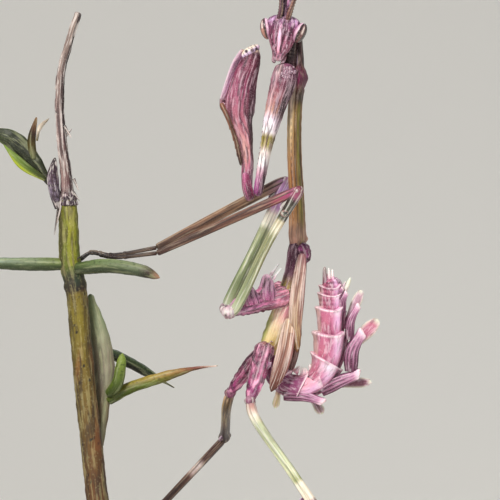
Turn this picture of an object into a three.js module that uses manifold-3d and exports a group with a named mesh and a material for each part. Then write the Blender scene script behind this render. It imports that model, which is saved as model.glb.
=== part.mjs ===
// A conehead mantis nymph clinging to a cut length of twig, which a plain display stand holds up.
// Millimetres. The animal holds its head up: +Z is towards its head, +X towards its back and +Y towards its
// right side. The origin is the centre of the base's underside.
import * as THREE from "three";
import { mergeVertices } from "three/addons/utils/BufferGeometryUtils.js";
import Module from "manifold-3d";

const wasm = await Module();
wasm.setup();

// ---------------------------------------------------------------- driving dimensions
const GAP = 0.3; // between two faces that meet
const GRID = 1 / 256; // where vertices lie
const MIDPLANE_Y = -4; // the plane that halves the animal, and the twig's own plane
const LEFT = -1;
const RIGHT = 1;

const BASE = { length: 50, width: 34, height: 4, corner: 5, bevel: 0.6 };
const ROD_RADIUS = 0.8;

const HEAD = { centre: [9.05, -1.3, 75.7], tilt: 8, turn: -14, chin: -2.6, vertex: 2.4 };
const EYE = { out: 1.9, up: 0.6, half: [0.66, 0.95, 1.2], lean: 18 };
const CROWN_LENGTH = 5.7;
const ANTENNA_RADIUS = 0.26;

// The body's centre line, front to back, in the animal's midplane.
const PROTHORAX_LINE = [
  [10.9, 0, 76.0],
  [10.95, 0, 74.3],
  [11.0, 0, 72.4],
  [10.45, 0, 68.2],
  [10.35, 0, 63.2],
  [10.6, 0, 57.8],
  [10.7, 0, 52.9],
];
const MESOTHORAX_LINE = [
  [10.7, 0, 52.5],
  [10.2, 0, 49.2],
  [9.4, 0, 46.5],
];
const METATHORAX_LINE = [
  [9.3, 0, 46.1],
  [8.3, 0, 43.3],
  [7.3, 0, 40.8],
];
const ABDOMEN_LINE = [
  [7.4, 0, 40.6],
  [8.5, 0, 38.4],
  [9.9, 0, 37.4],
  [11.5, 0, 37.3],
  [13.0, 0, 38.3],
  [14.05, 0, 40.1],
  [14.4, 0, 42.2],
  [14.45, 0, 44.5],
  [14.5, 0, 48.2],
  [14.45, 0, 49.3],
];
const ABDOMEN_JOINTS = [0, 2.6, 5.05, 7.45, 9.15, 12.2, 14.95, 16.5, 17.3]; // where each segment starts
const ABDOMEN_HALF_DEPTH = [
  [0, 1.0],
  [0.12, 1.3],
  [0.26, 1.5],
  [0.4, 1.65],
  [0.47, 1.9],
  [0.53, 2.0],
  [0.66, 1.9],
  [0.8, 1.62],
  [0.88, 1.42],
  [0.94, 1.28],
  [1, 0.8],
];
const ABDOMEN_BREADTH = 1.15; // half breadth over half depth
const SEGMENT_FLARE = 0.84; // a segment's front over its rear edge
// Root and tip, as [x, z], of the teeth on the crest where the abdomen bends up.
const CREST_TEETH = [
  [],
  [[[10.4, 38.5], [11.0, 39.6]], [[11.4, 38.2], [11.2, 39.5]]],
  [[[11.75, 38.3], [11.5, 39.5]], [[12.45, 38.5], [11.95, 39.9]]],
  [[[12.9, 39.7], [12.25, 41.2]]],
];
// What stands out under each segment, as [x, z]: the root and the tip of the leaf in the midplane, its half
// width, and the line of the pointed keel on each side with its half width.
const BELLY_LOBES = [
  null,
  { root: [8.7, 37.1], tip: [8.25, 34.8], half: 0.42 },
  {
    root: [12.2, 36.2],
    tip: [13.5, 34.2],
    half: 0.55,
    keel: [[9.2, 36.25], [11.45, 36.2], [13.65, 35.5]],
    keelHalf: 0.6,
  },
  {
    root: [14.3, 37.4],
    tip: [18.9, 37.75],
    half: 0.56,
    keel: [[13.3, 36.75], [15.2, 37.75], [17.6, 38.7]],
    keelHalf: 0.72,
  },
  {
    root: [15.6, 40.6],
    tip: [19.65, 44.6],
    half: 0.8,
    keel: [[16.6, 38.9], [16.75, 41.2], [17.95, 43.35]],
    keelHalf: 0.76,
  },
  {
    root: [15.9, 43.6],
    tip: [17.8, 47.85],
    half: 0.56,
    keel: [[16.45, 42.4], [16.6, 44.5], [17.5, 46.25]],
    keelHalf: 0.46,
  },
  {
    root: [15.4, 46.0],
    tip: [16.5, 49.2],
    half: 0.3,
    keel: [[15.65, 45.4], [15.7, 46.6], [16.15, 47.65]],
    keelHalf: 0.38,
  },
  { root: [15.1, 47.1], tip: [16.0, 48.8], half: 0.26 },
];
const KEEL_Y = 1.0;

// The two raptorial forelegs are mirror images. These points are the right one's.
const FORELEG = {
  coxa: [
    [9.5, 1.15, 72.75],
    [9.15, 1.55, 70.6],
    [8.35, 1.95, 68.0],
    [7.45, 2.4, 64.3],
    [6.35, 2.9, 58.5],
  ],
  trochanter: [5.8, 2.95, 57.9],
  femur: [
    [5.3, 2.9, 58.1],
    [5.15, 2.85, 60.0],
    [5.2, 2.75, 61.8],
    [4.98, 2.6, 64.1],
    [4.3, 2.5, 67.0],
    [4.5, 2.38, 69.5],
    [5.05, 2.25, 71.6],
    [5.8, 2.15, 73.7],
    [5.95, 2.1, 74.6],
  ],
  tibia: [
    [4.85, 2.1, 73.9],
    [4.0, 2.15, 72.6],
    [3.15, 2.25, 70.4],
    [2.45, 2.35, 68.5],
  ],
  hook: [
    [2.45, 2.35, 68.8],
    [2.4, 2.35, 67.9],
    [2.95, 2.35, 67.3],
  ],
  tarsus: [
    [2.35, 2.8, 68.3],
    [3.25, 3.65, 66.3],
    [3.95, 3.5, 64.2],
    [4.55, 3.2, 61.6],
  ],
  kneeCap: { centre: [5.5, 2.15, 74.0], half: [1.2, 0.76, 0.52], lean: -33 },
};

// The walking legs: hip, trochanter, knee, ankle and the points by which the foot holds the twig. bow is how
// far the middle of the femur bends back.
const WALKING_LEGS = {
  mid_left: {
    hip: [9.9, -1.0, 47.4],
    trochanter: [3.2, -4.3, 45.5],
    thigh: [3.6, -4.3, 45.5],
    knee: [10.95, -5.7, 58.9],
    ankle: [-4.7, -1.5, 51.9],
    foot: [[-9.7, -1.5, 51.45], [-11.9, -1.5, 51.95], [-13.1, -1.55, 51.4]],
    coxaHalf: 1.0,
    femurHalf: 0.55,
    tibiaHalf: 0.48,
    bow: -0.28,
  },
  mid_right: {
    hip: [9.7, 1.0, 47.9],
    trochanter: [2.9, 4.3, 45.7],
    thigh: [2.9, 4.3, 45.8],
    knee: [9.6, 5.7, 60.1],
    ankle: [-4.8, 1.5, 52.5],
    foot: [[-9.8, 1.4, 51.7], [-12.0, 1.5, 52.0], [-13.2, 1.6, 51.1]],
    coxaHalf: 1.0,
    femurHalf: 0.68,
    tibiaHalf: 0.57,
    bow: 0.1,
  },
  hind_left: {
    hip: [7.3, -0.9, 42.2],
    trochanter: [5.5, -3.4, 35.8],
    thigh: [5.9, -3.7, 34.2],
    knee: [12.95, -7.0, 23.8],
    ankle: [-4.0, -3.7, 14.5],
    foot: [[-7.0, -2.9, 12.5], [-8.4, -2.1, 11.7], [-9.0, -1.75, 10.3]],
    coxaHalf: 0.98,
    femurHalf: 0.57,
    tibiaHalf: 0.42,
    bow: 0,
  },
  hind_right: {
    hip: [6.75, 0.9, 41.2],
    trochanter: [3.3, 4.1, 36.4],
    thigh: [2.95, 5.6, 35.0],
    knee: [2.6, 17.5, 30.8],
    ankle: [-8.6, 5.9, 19.3],
    foot: [[-9.4, 3.6, 17.3], [-9.9, 2.3, 16.2], [-10.3, 1.8, 14.8]],
    coxaHalf: 0.9,
    femurHalf: 0.55,
    tibiaHalf: 0.44,
    bow: 0,
  },
};
const TROCHANTER_RADIUS = 0.8;
const TARSUS_HALF = 0.25;

// The wing pads, root to tip, with y outward. The right ones hang further back by farShift.
const FORE_PAD = {
  line: [[11.25, 1.2, 51.9], [10.7, 1.95, 47.6], [10.45, 2.1, 44.0], [10.7, 2.1, 41.0]],
  half: 0.82,
  farShift: 0.1,
};
const HIND_PAD = {
  line: [[9.9, 1.75, 44.8], [9.1, 2.5, 40.3], [7.8, 2.5, 36.7]],
  half: 0.92,
  farShift: 0.75,
};
const PAD_HALF_THICK = 0.28;

// The twig, top to cut end, with its half thickness at each point.
const TWIG = [
  [-13.35, 78.4, 0.34],
  [-14.35, 75.3, 0.37],
  [-15.25, 72.0, 0.41],
  [-15.45, 68.7, 0.45],
  [-15.3, 65.4, 0.48],
  [-14.8, 61.0, 0.57],
  [-14.6, 58.9, 0.68],
  [-14.55, 57.9, 0.92],
  [-14.5, 56.1, 1.05],
  [-14.4, 52.2, 1.15],
  [-14.3, 51.0, 1.2],
  [-13.6, 47.6, 1.16],
  [-13.2, 43.1, 1.15],
  [-12.6, 36.8, 1.17],
  [-12.0, 31.3, 1.2],
  [-11.35, 25.3, 1.22],
  [-9.4, 8.2, 1.27],
];

// ---------------------------------------------------------------- materials
const paint = (color, roughness = 0.6) => new THREE.MeshStandardMaterial({ color, roughness, metalness: 0 });
const MAUVE = paint(0x9c5577);
const PINK = paint(0xc98aa4);
const STRAW = paint(0xb59a72);
const PALE_GREEN = paint(0xa9b183);
const BROWN = paint(0x7c5a4c);
const EYE_PAINT = paint(0xc9a7a0, 0.3);
const BARK = paint(0x8a8043, 0.8);
const THORN_GREEN = paint(0x6f8240, 0.7);
const WALNUT = paint(0x4a3224, 0.5);
const STEEL = new THREE.MeshStandardMaterial({ color: 0xb8babd, roughness: 0.3, metalness: 1 });

// ---------------------------------------------------------------- solids
const vec = (p) => new THREE.Vector3(...p);
const mirrored = (p, side) => [p[0], side * p[1], p[2]];

function solidOf(geometry) {
  const bare = geometry.clone();
  bare.deleteAttribute("normal");
  bare.deleteAttribute("uv");
  const merged = mergeVertices(bare, 1e-5);
  const vertProperties = Float32Array.from(merged.attributes.position.array);
  const triVerts = Uint32Array.from(merged.index.array);
  return new wasm.Manifold(new wasm.Mesh({ numProp: 3, vertProperties, triVerts }));
}

const fuse = (...solids) => wasm.Manifold.union(solids);

// A closed tube along the smooth line through the points of path. keys lists [u, a, b]: at the share u of the
// line, the section is an ellipse that reaches a along the direction side and b across it. grow adds to every
// face. Each quad on one half of the section is split as its mirror image on the other half.
function tube({ path, keys, side = [0, 1, 0], sides = 10, steps = 1, grow = 0 }) {
  const line = new THREE.CatmullRomCurve3(path.map(vec));
  const rows = new THREE.CatmullRomCurve3(keys.map(vec), false, "catmullrom", 0.5).getPoints(
    (keys.length - 1) * steps,
  );
  const points = [];
  const ends = [];
  rows.forEach(({ x, y: a, z: b }, i) => {
    const u = THREE.MathUtils.clamp(x, 0, 1);
    const along = line.getTangentAt(u);
    const across = vec(side).addScaledVector(along, -vec(side).dot(along)).normalize();
    const up = along.clone().cross(across);
    const centre = line.getPointAt(u);
    const last = i === rows.length - 1;
    if (i === 0) centre.addScaledVector(along, -grow);
    if (last) centre.addScaledVector(along, grow);
    if (i === 0 || last) ends.push(centre);
    for (let j = 0; j < sides; j++) {
      const turn = (2 * Math.PI * j) / sides;
      points.push(
        centre
          .clone()
          .addScaledVector(across, (a + grow) * Math.cos(turn))
          .addScaledVector(up, (b + grow) * Math.sin(turn)),
      );
    }
  });
  const index = [];
  const at = (i, j) => i * sides + (j % sides);
  for (let i = 0; i + 1 < rows.length; i++) {
    for (let j = 0; j < sides; j++) {
      const [p, q, r, s] = [at(i, j), at(i, j + 1), at(i + 1, j + 1), at(i + 1, j)];
      if (j < sides / 2) index.push(p, q, r, p, r, s);
      else index.push(p, q, s, q, r, s);
    }
  }
  const first = points.push(ends[0]) - 1;
  const final = points.push(ends[1]) - 1;
  for (let j = 0; j < sides; j++) {
    index.push(first, at(0, j + 1), at(0, j));
    index.push(final, at(rows.length - 1, j), at(rows.length - 1, j + 1));
  }
  return solidOf(new THREE.BufferGeometry().setFromPoints(points).setIndex(index));
}

// An ellipsoid with a number of slices; matrix places it.
function ball(centre, half, grow = 0, slices = 8, matrix = new THREE.Matrix4()) {
  const geometry = new THREE.SphereGeometry(1, slices, Math.round(0.7 * slices));
  geometry.scale(half[0] + grow, half[1] + grow, half[2] + grow).applyMatrix4(matrix);
  return solidOf(geometry.translate(...centre));
}

// A tapering spine of few sides, its root inside what it grows from.
function spine(root, tip, radius, grow = 0) {
  const side = Math.abs(tip[1] - root[1]) > Math.abs(tip[2] - root[2]) ? [0, 0, 1] : [0, 1, 0];
  return tube({ path: [root, tip], keys: [[0, radius, radius], [1, 0.07, 0.07]], side, sides: 5, grow });
}

// A flat lobe from root to tip. half is its half width in the plane of side, waist the root's.
function lobe({ root, bend, tip, half, waist = half, side, thick = 0.27, grow = 0 }) {
  const keys = [
    [0, waist, thick],
    [0.35, (waist + half) / 2, thick],
    [0.65, half, thick],
    [0.88, 0.6 * half, 0.8 * thick],
    [1, 0.12, 0.12],
  ];
  return tube({ path: bend ? [root, bend, tip] : [root, tip], keys, side, sides: 6, grow });
}

const mix = (a, b, t) => vec(a).lerp(vec(b), t).toArray();
const plus = (a, b, k = 1) => vec(a).addScaledVector(vec(b), k).toArray();
const minus = (a, b) => vec(a).sub(vec(b)).toArray();
const unit = (a) => vec(a).normalize().toArray();

// ---------------------------------------------------------------- nodes
const animal = new THREE.Group();
animal.position.y = MIDPLANE_Y;

// The solid's mesh with every vertex on a fine grid, so that no two are nearly alike. Faces that this folds
// flat go.
function onGrid(solid) {
  const { vertProperties, triVerts } = solid.getMesh();
  const position = Float32Array.from(vertProperties, (v) => Math.round(v / GRID) * GRID);
  const geometry = mergeVertices(
    new THREE.BufferGeometry()
      .setAttribute("position", new THREE.BufferAttribute(position, 3))
      .setIndex(new THREE.BufferAttribute(Uint32Array.from(triVerts), 1)),
    GRID / 10,
  );
  const faces = new Map();
  for (let i = 0; i < triVerts.length; i += 3) {
    const face = Array.from(geometry.index.array.slice(i, i + 3));
    const corners = [...face].sort((a, b) => a - b).join();
    if (new Set(face).size < 3) continue;
    if (faces.has(corners)) faces.delete(corners);
    else faces.set(corners, face);
  }
  return geometry.setIndex([...faces.values()].flat());
}

// Adds a node. shape(grow) makes its solid, and what it meets is cut clear of it by GAP.
function node(name, material, shape, neighbours = [], group = animal) {
  let solid = shape(0);
  for (const neighbour of neighbours) solid = solid.subtract(neighbour(GAP));
  const geometry = onGrid(solid.decompose().reduce((a, b) => (b.volume() > a.volume() ? b : a)));
  geometry.computeVertexNormals();
  const mesh = new THREE.Mesh(geometry, material);
  mesh.name = name;
  group.add(mesh);
  return shape;
}

// ---------------------------------------------------------------- head
// The head's own frame: X to its left as it looks along -Y, and Z up the crown.
const headTurn = new THREE.Matrix4().makeRotationFromEuler(
  new THREE.Euler(
    0,
    THREE.MathUtils.degToRad(HEAD.tilt),
    THREE.MathUtils.degToRad(HEAD.turn),
    "YZX",
  ),
);
const inHead = (x, y, z) => vec([x, y, z]).applyMatrix4(headTurn).add(vec(HEAD.centre)).toArray();
const headSide = vec([1, 0, 0]).applyMatrix4(headTurn).toArray();

const headShape = (grow) =>
  fuse(
    tube({
      path: [inHead(0, -0.1, HEAD.chin), inHead(0, -0.05, 0), inHead(0, 0.05, HEAD.vertex)],
      keys: [
        [0, 0.38, 0.4],
        [0.08, 0.62, 0.58],
        [0.22, 1.04, 0.85],
        [0.42, 1.46, 1.0],
        [0.6, 1.76, 1.08],
        [0.76, 1.92, 1.08],
        [0.88, 1.75, 1.0],
        [0.96, 1.25, 0.86],
        [1, 0.8, 0.7],
      ],
      side: headSide,
      sides: 14,
      grow,
    }),
    // The ridge down the middle of the face.
    tube({
      path: [inHead(0, -0.85, 1.5), inHead(0, -1.05, 0.2), inHead(0, -0.62, -2.1)],
      keys: [[0, 0.14, 0.2], [0.5, 0.22, 0.24], [1, 0.14, 0.16]],
      side: headSide,
      sides: 6,
      grow,
    }),
    // The palps beside the mouth.
    ...[LEFT, RIGHT].map((s) =>
      tube({
        path: [inHead(s * 0.35, 0.1, -1.9), inHead(s * 0.55, -0.1, -2.6), inHead(s * 0.3, -0.3, -3.1)],
        keys: [[0, 0.26, 0.26], [0.6, 0.26, 0.26], [1, 0.12, 0.12]],
        side: headSide,
        sides: 6,
        grow,
      }),
    ),
  );
node("head", PINK, headShape);

for (const [name, s] of [["eye_left", RIGHT], ["eye_right", LEFT]]) {
  const lean = new THREE.Matrix4().makeRotationY(THREE.MathUtils.degToRad(s * EYE.lean));
  const matrix = headTurn.clone().multiply(lean);
  const centre = inHead(s * EYE.out, 0, EYE.up);
  node(name, EYE_PAINT, (grow) => ball(centre, EYE.half, grow, 12, matrix), [headShape]);
}

const CROWN_TOP = HEAD.vertex + CROWN_LENGTH;
const crownShape = (grow) =>
  fuse(
    tube({
      path: [inHead(0, 0.05, HEAD.vertex - 0.3), inHead(0.05, 0.1, 5), inHead(0, 0.1, CROWN_TOP - 0.9)],
      keys: [
        [0, 0.78, 0.55],
        [0.16, 0.62, 0.48],
        [0.34, 0.7, 0.42],
        [0.5, 0.98, 0.36],
        [0.62, 0.66, 0.34],
        [0.8, 0.46, 0.34],
        [1, 0.42, 0.32],
      ],
      side: headSide,
      sides: 10,
      grow,
    }),
    ...[LEFT, RIGHT].map((s) =>
      spine(inHead(s * 0.14, 0.1, CROWN_TOP - 1.3), inHead(s * 0.42, 0.1, CROWN_TOP), 0.27, grow),
    ),
  );
node("crown", MAUVE, crownShape, [headShape]);

// close is how near to the midline an antenna's lower part stays.
for (const [name, s, close] of [["antenna_left", RIGHT, 1.12], ["antenna_right", LEFT, 0.42]]) {
  const antenna = (grow) =>
    tube({
      path: [
        inHead(s * 0.5, -0.72, 1.8),
        inHead(s * 0.68 * close, -1.1, 2.7),
        inHead(s * 0.98 * close, -1.25, 4.2),
        inHead(s * 1.5 * close, -1.0, 7.5),
        inHead(s * 2.3, -0.6, 10.6),
      ],
      keys: [
        [0, ANTENNA_RADIUS, ANTENNA_RADIUS],
        [0.5, 0.9 * ANTENNA_RADIUS, 0.9 * ANTENNA_RADIUS],
        [0.85, 0.75 * ANTENNA_RADIUS, 0.75 * ANTENNA_RADIUS],
        [1, 0.09, 0.09],
      ],
      side: headSide,
      sides: 6,
      steps: 2,
      grow,
    });
  node(name, BROWN, antenna, [headShape, crownShape]);
}

// ---------------------------------------------------------------- thorax
const prothoraxShape = (grow) =>
  fuse(
    tube({
      path: PROTHORAX_LINE,
      keys: [
        [0, 0.4, 0.28],
        [0.1, 0.7, 0.38],
        [0.15, 0.9, 0.42],
        [0.18, 1.2, 0.72],
        [0.215, 1.46, 0.83],
        [0.25, 1.36, 0.8],
        [0.32, 0.88, 0.75],
        [0.46, 0.76, 0.76],
        [0.68, 0.78, 0.78],
        [0.86, 0.92, 0.86],
        [0.945, 1.1, 0.93],
        [1, 0.9, 0.8],
      ],
      sides: 10,
      grow,
    }),
    // The crest of the pronotum, and the knob at its rear end.
    tube({
      path: [[11.3, 0, 71.9], [11.4, 0, 70.8], [10.85, 0, 66.0], [11.0, 0, 57.0], [11.2, 0, 53.6]],
      keys: [[0, 0.14, 0.16], [0.2, 0.2, 0.3], [0.5, 0.16, 0.16], [0.9, 0.2, 0.26], [1, 0.16, 0.14]],
      sides: 6,
      grow,
    }),
    ball([11.5, 0, 53.5], [0.45, 0.6, 0.5], grow),
  );
node("prothorax", STRAW, prothoraxShape, [headShape]);

const neckShape = (grow) =>
  tube({
    path: [inHead(0, 0.35, -0.3), [10.0, -0.2, 75.0], [9.85, 0, 73.3], [9.8, 0, 71.8]],
    keys: [[0, 0.74, 0.72], [0.35, 0.74, 0.76], [0.65, 0.84, 0.86], [1, 0.8, 0.85]],
    side: [0.3, 1, 0],
    sides: 8,
    grow,
  });
node("neck", MAUVE, neckShape, [headShape, prothoraxShape]);

const leaning = (degrees) => new THREE.Matrix4().makeRotationY(THREE.MathUtils.degToRad(degrees));
const mesothoraxShape = (grow) =>
  fuse(
    tube({
      path: MESOTHORAX_LINE,
      keys: [[0, 0.95, 0.8], [0.15, 1.1, 0.9], [0.5, 1.38, 1.04], [0.85, 1.58, 1.19], [1, 1.44, 1.1]],
      sides: 12,
      grow,
    }),
    // The lobes over the roots of the fore wing pads.
    ...[LEFT, RIGHT].map((s) => ball([11.45, s * 0.75, 52.0], [0.75, 0.55, 1.15], grow, 8, leaning(-14))),
  );
node("mesothorax", PINK, mesothoraxShape, [prothoraxShape]);

const metathoraxShape = (grow) =>
  tube({
    path: METATHORAX_LINE,
    keys: [[0, 1.5, 1.12], [0.15, 1.65, 1.25], [0.6, 1.6, 1.25], [0.9, 1.35, 1.05], [1, 1.2, 0.95]],
    sides: 12,
    grow,
  });
node("metathorax", STRAW, metathoraxShape, [mesothoraxShape]);

// ---------------------------------------------------------------- abdomen
const abdomenLine = new THREE.CatmullRomCurve3(ABDOMEN_LINE.map(vec));
const ABDOMEN_LENGTH = abdomenLine.getLength();

function halfDepth(u) {
  const i = Math.max(1, ABDOMEN_HALF_DEPTH.findIndex(([at]) => at >= u));
  const [u0, d0] = ABDOMEN_HALF_DEPTH[i - 1];
  const [u1, d1] = ABDOMEN_HALF_DEPTH[i];
  return d0 + ((d1 - d0) * (u - u0)) / (u1 - u0);
}

// A point of the abdomen at the share u of its line: right is towards its right side, up towards its back.
function onAbdomen(u, right, up, rearward = 0) {
  const along = abdomenLine.getTangentAt(u);
  const back = along.clone().cross(vec([0, 1, 0]));
  const p = abdomenLine.getPointAt(u).addScaledVector(back, up).addScaledVector(along, rearward);
  return p.setY(right).toArray();
}

function abdomenSegment(k) {
  const starts = ABDOMEN_JOINTS[k];
  const last = k === ABDOMEN_JOINTS.length - 1;
  const ends = last ? ABDOMEN_LENGTH : ABDOMEN_JOINTS[k + 1];
  const u0 = (starts + GAP / 2) / ABDOMEN_LENGTH;
  const u1 = last ? 1 : (ends - GAP / 2) / ABDOMEN_LENGTH;
  const rear = halfDepth(Math.min(u1, 0.97));
  const key = (t, share) => [u0 + (u1 - u0) * t, share * rear * ABDOMEN_BREADTH, share * rear];
  const keys = last
    ? [key(0, 1.12), key(0.5, 1.05), key(0.85, 0.8), key(1, 0.45)]
    : [key(0, SEGMENT_FLARE), key(0.5, 0.92), key(0.85, 1), key(1, 0.96)];
  const leaf = BELLY_LOBES[k];
  return (grow) => {
    const pieces = [tube({ path: ABDOMEN_LINE, keys, sides: 12, grow })];
    if (last) {
      // The cerci and the spike between them.
      for (const s of [LEFT, RIGHT]) {
        pieces.push(spine(onAbdomen(0.97, s * 0.25, 0.2), onAbdomen(1, s * 0.5, 0.45, 1.3), 0.27, grow));
      }
      pieces.push(spine(onAbdomen(0.97, 0, -0.15), onAbdomen(1, 0, -0.25, 1.0), 0.27, grow));
    } else {
      for (const [root, tip] of CREST_TEETH[k] ?? []) {
        pieces.push(spine([root[0], 0, root[1]], [tip[0], 0, tip[1]], 0.36, grow));
      }
      // The points at the rear edge of the back plate, and on its sides.
      for (const s of k > 0 ? [LEFT, RIGHT] : []) {
        const root = onAbdomen(u1 - 0.035, s * 0.55 * rear, 0.62 * rear);
        const tip = onAbdomen(u1, s * 0.72 * rear, rear + 0.2, 0.05);
        pieces.push(spine(root, tip, 0.34, grow));
        const corner = onAbdomen(u1 - 0.03, s * 0.85 * rear, -0.1 * rear);
        const point = onAbdomen(u1, s * (1.25 * rear + 0.1), -0.1 * rear, 0.05);
        pieces.push(spine(corner, point, 0.34, grow));
      }
    }
    if (leaf) {
      const [root, tip] = [leaf.root, leaf.tip].map(([x, z]) => [x, 0, z]);
      const side = unit(minus(tip, root)).map((v, i, run) => [-run[2], 0, run[0]][i]);
      const waist = Math.max(1.3 * leaf.half, 0.45);
      pieces.push(lobe({ root, tip, half: leaf.half, waist, side, grow }));
      for (const s of leaf.keel ? [LEFT, RIGHT] : []) {
        const half = leaf.keelHalf;
        const outward = [1, 1.1, 1.25];
        const [middleX, middleZ] = leaf.keel[1];
        // The web by which the keel hangs on the segment.
        pieces.push(
          tube({
            path: [[root[0] - 0.4, s * 0.7 * KEEL_Y, root[2]], [middleX, s * 1.1 * KEEL_Y, middleZ]],
            keys: [[0, 0.9 * half, 0.4], [1, 0.8 * half, 0.36]],
            side,
            sides: 5,
            grow,
          }),
          tube({
            path: leaf.keel.map(([x, z], i) => [x, s * outward[i] * KEEL_Y, z]),
            keys: [
              [0, 0.8 * half, 0.42],
              [0.45, half, 0.4],
              [0.93, 0.7 * half, 0.26],
              [1, 0.4 * half, 0.14],
            ],
            side,
            sides: 6,
            grow,
          }),
        );
      }
    }
    return fuse(...pieces);
  };
}
const abdomenShapes = ABDOMEN_JOINTS.map((_, k) => abdomenSegment(k));
abdomenShapes.forEach((shape, k) => {
  const name = k === abdomenShapes.length - 1 ? "abdomen_tip" : `abdomen_${k + 1}`;
  const clear = k === 0 ? [metathoraxShape] : abdomenShapes.slice(Math.max(0, k - 2), k);
  node(name, PINK, shape, clear);
});

// ---------------------------------------------------------------- wing pads
const padShapes = { left: [], right: [] };
for (const [side, s] of [["left", LEFT], ["right", RIGHT]]) {
  const pad = ({ line, half, farShift }) => (grow) =>
    tube({
      path: line.map((p) => plus(mirrored(p, s), [s === RIGHT ? farShift : 0, 0, 0])),
      keys: [
        [0, 0.5 * half, PAD_HALF_THICK],
        [0.2, 0.85 * half, PAD_HALF_THICK],
        [0.5, half, PAD_HALF_THICK],
        [0.75, 0.85 * half, PAD_HALF_THICK],
        [0.93, 0.45 * half, PAD_HALF_THICK],
        [1, 0.14, 0.14],
      ],
      side: [1, s * 0.3, 0.1],
      sides: 8,
      grow,
    });
  const forePad = pad(FORE_PAD);
  const hindPad = pad(HIND_PAD);
  padShapes[side].push(forePad, hindPad);
  node(`fore_wing_pad_${side}`, STRAW, forePad, [mesothoraxShape, metathoraxShape, prothoraxShape]);
  node(`hind_wing_pad_${side}`, STRAW, hindPad, [
    metathoraxShape,
    mesothoraxShape,
    abdomenShapes[0],
    abdomenShapes[1],
    forePad,
  ]);
}

// ---------------------------------------------------------------- raptorial forelegs
for (const [side, s] of [["left", LEFT], ["right", RIGHT]]) {
  const at = (points) => points.map((p) => mirrored(p, s));
  const across = [1, 0, 0.2];
  const coxa = (grow) =>
    tube({
      path: at(FORELEG.coxa),
      keys: [
        [0, 0.8, 0.58],
        [0.055, 1.14, 0.73],
        [0.12, 1.28, 0.78],
        [0.24, 1.14, 0.72],
        [0.36, 0.96, 0.64],
        [0.45, 0.85, 0.58],
        [0.565, 0.66, 0.49],
        [0.8, 0.52, 0.43],
        [1, 0.42, 0.38],
      ],
      side: across,
      grow,
    });
  node(`fore_coxa_${side}`, MAUVE, coxa, [prothoraxShape, neckShape, headShape]);

  const shin = (grow) =>
    tube({
      path: at(FORELEG.tibia),
      keys: [[0, 0.4, 0.4], [0.3, 0.46, 0.42], [0.8, 0.38, 0.36], [1, 0.29, 0.29]],
      side: across,
      sides: 8,
      steps: 2,
      grow,
    });
  const { centre, half, lean } = FORELEG.kneeCap;
  // The folded shin lies in a groove down the femur's front edge.
  const femurBody = (grow) =>
    fuse(
      tube({
        path: at(FORELEG.femur),
        keys: [
          [0, 0.42, 0.4],
          [0.11, 0.6, 0.49],
          [0.28, 0.66, 0.53],
          [0.36, 0.84, 0.6],
          [0.44, 1.12, 0.7],
          [0.57, 1.66, 0.83],
          [0.63, 1.66, 0.83],
          [0.72, 1.48, 0.8],
          [0.82, 1.26, 0.75],
          [0.92, 0.95, 0.65],
          [1, 0.42, 0.36],
        ],
        side: across,
        sides: 10,
        grow,
      }),
      ball(mirrored(FORELEG.trochanter, s), [0.5, 0.5, 0.5], grow),
      ball(mirrored(centre, s), half, grow, 8, leaning(lean)),
    ).subtract(shin(GAP - grow));
  const femurSpines = Array.from({ length: 5 }, (_, i) => mix([3.75, 3.2, 68.4], [4.75, 3.0, 72.4], i / 4));
  const femurSpineRoot = (tip) => plus(tip, [0.9, -0.4, -0.2]);
  const femur = (grow) =>
    fuse(
      femurBody(grow),
      ...femurSpines.map((tip) => spine(mirrored(femurSpineRoot(tip), s), mirrored(tip, s), 0.25, grow)),
    );
  node(`fore_femur_${side}`, MAUVE, femur, [coxa]);

  const tibiaSpines = Array.from({ length: 6 }, (_, i) => mix(FORELEG.tibia[3], FORELEG.tibia[1], i / 5.5));
  const tibiaSpineTip = (root) => plus(root, [0.1, 0.85, -0.35]);
  const tibia = (grow) =>
    fuse(
      shin(grow),
      tube({
        path: at(FORELEG.hook),
        keys: [[0, 0.28, 0.28], [0.5, 0.2, 0.2], [1, 0.07, 0.07]],
        side: [0, 1, 0],
        sides: 6,
        steps: 2,
        grow,
      }),
      ...tibiaSpines.map((root) => spine(mirrored(root, s), mirrored(tibiaSpineTip(root), s), 0.25, grow)),
    );
  node(`fore_tibia_${side}`, MAUVE, tibia, [femur]);

  const tarsus = (grow) =>
    tube({
      path: at(FORELEG.tarsus),
      keys: [[0, 0.25, 0.25], [0.4, 0.25, 0.25], [0.8, 0.23, 0.23], [1, 0.12, 0.12]],
      side: across,
      sides: 6,
      steps: 2,
      grow,
    });
  node(`fore_tarsus_${side}`, BROWN, tarsus, [tibia, femur]);
}

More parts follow.
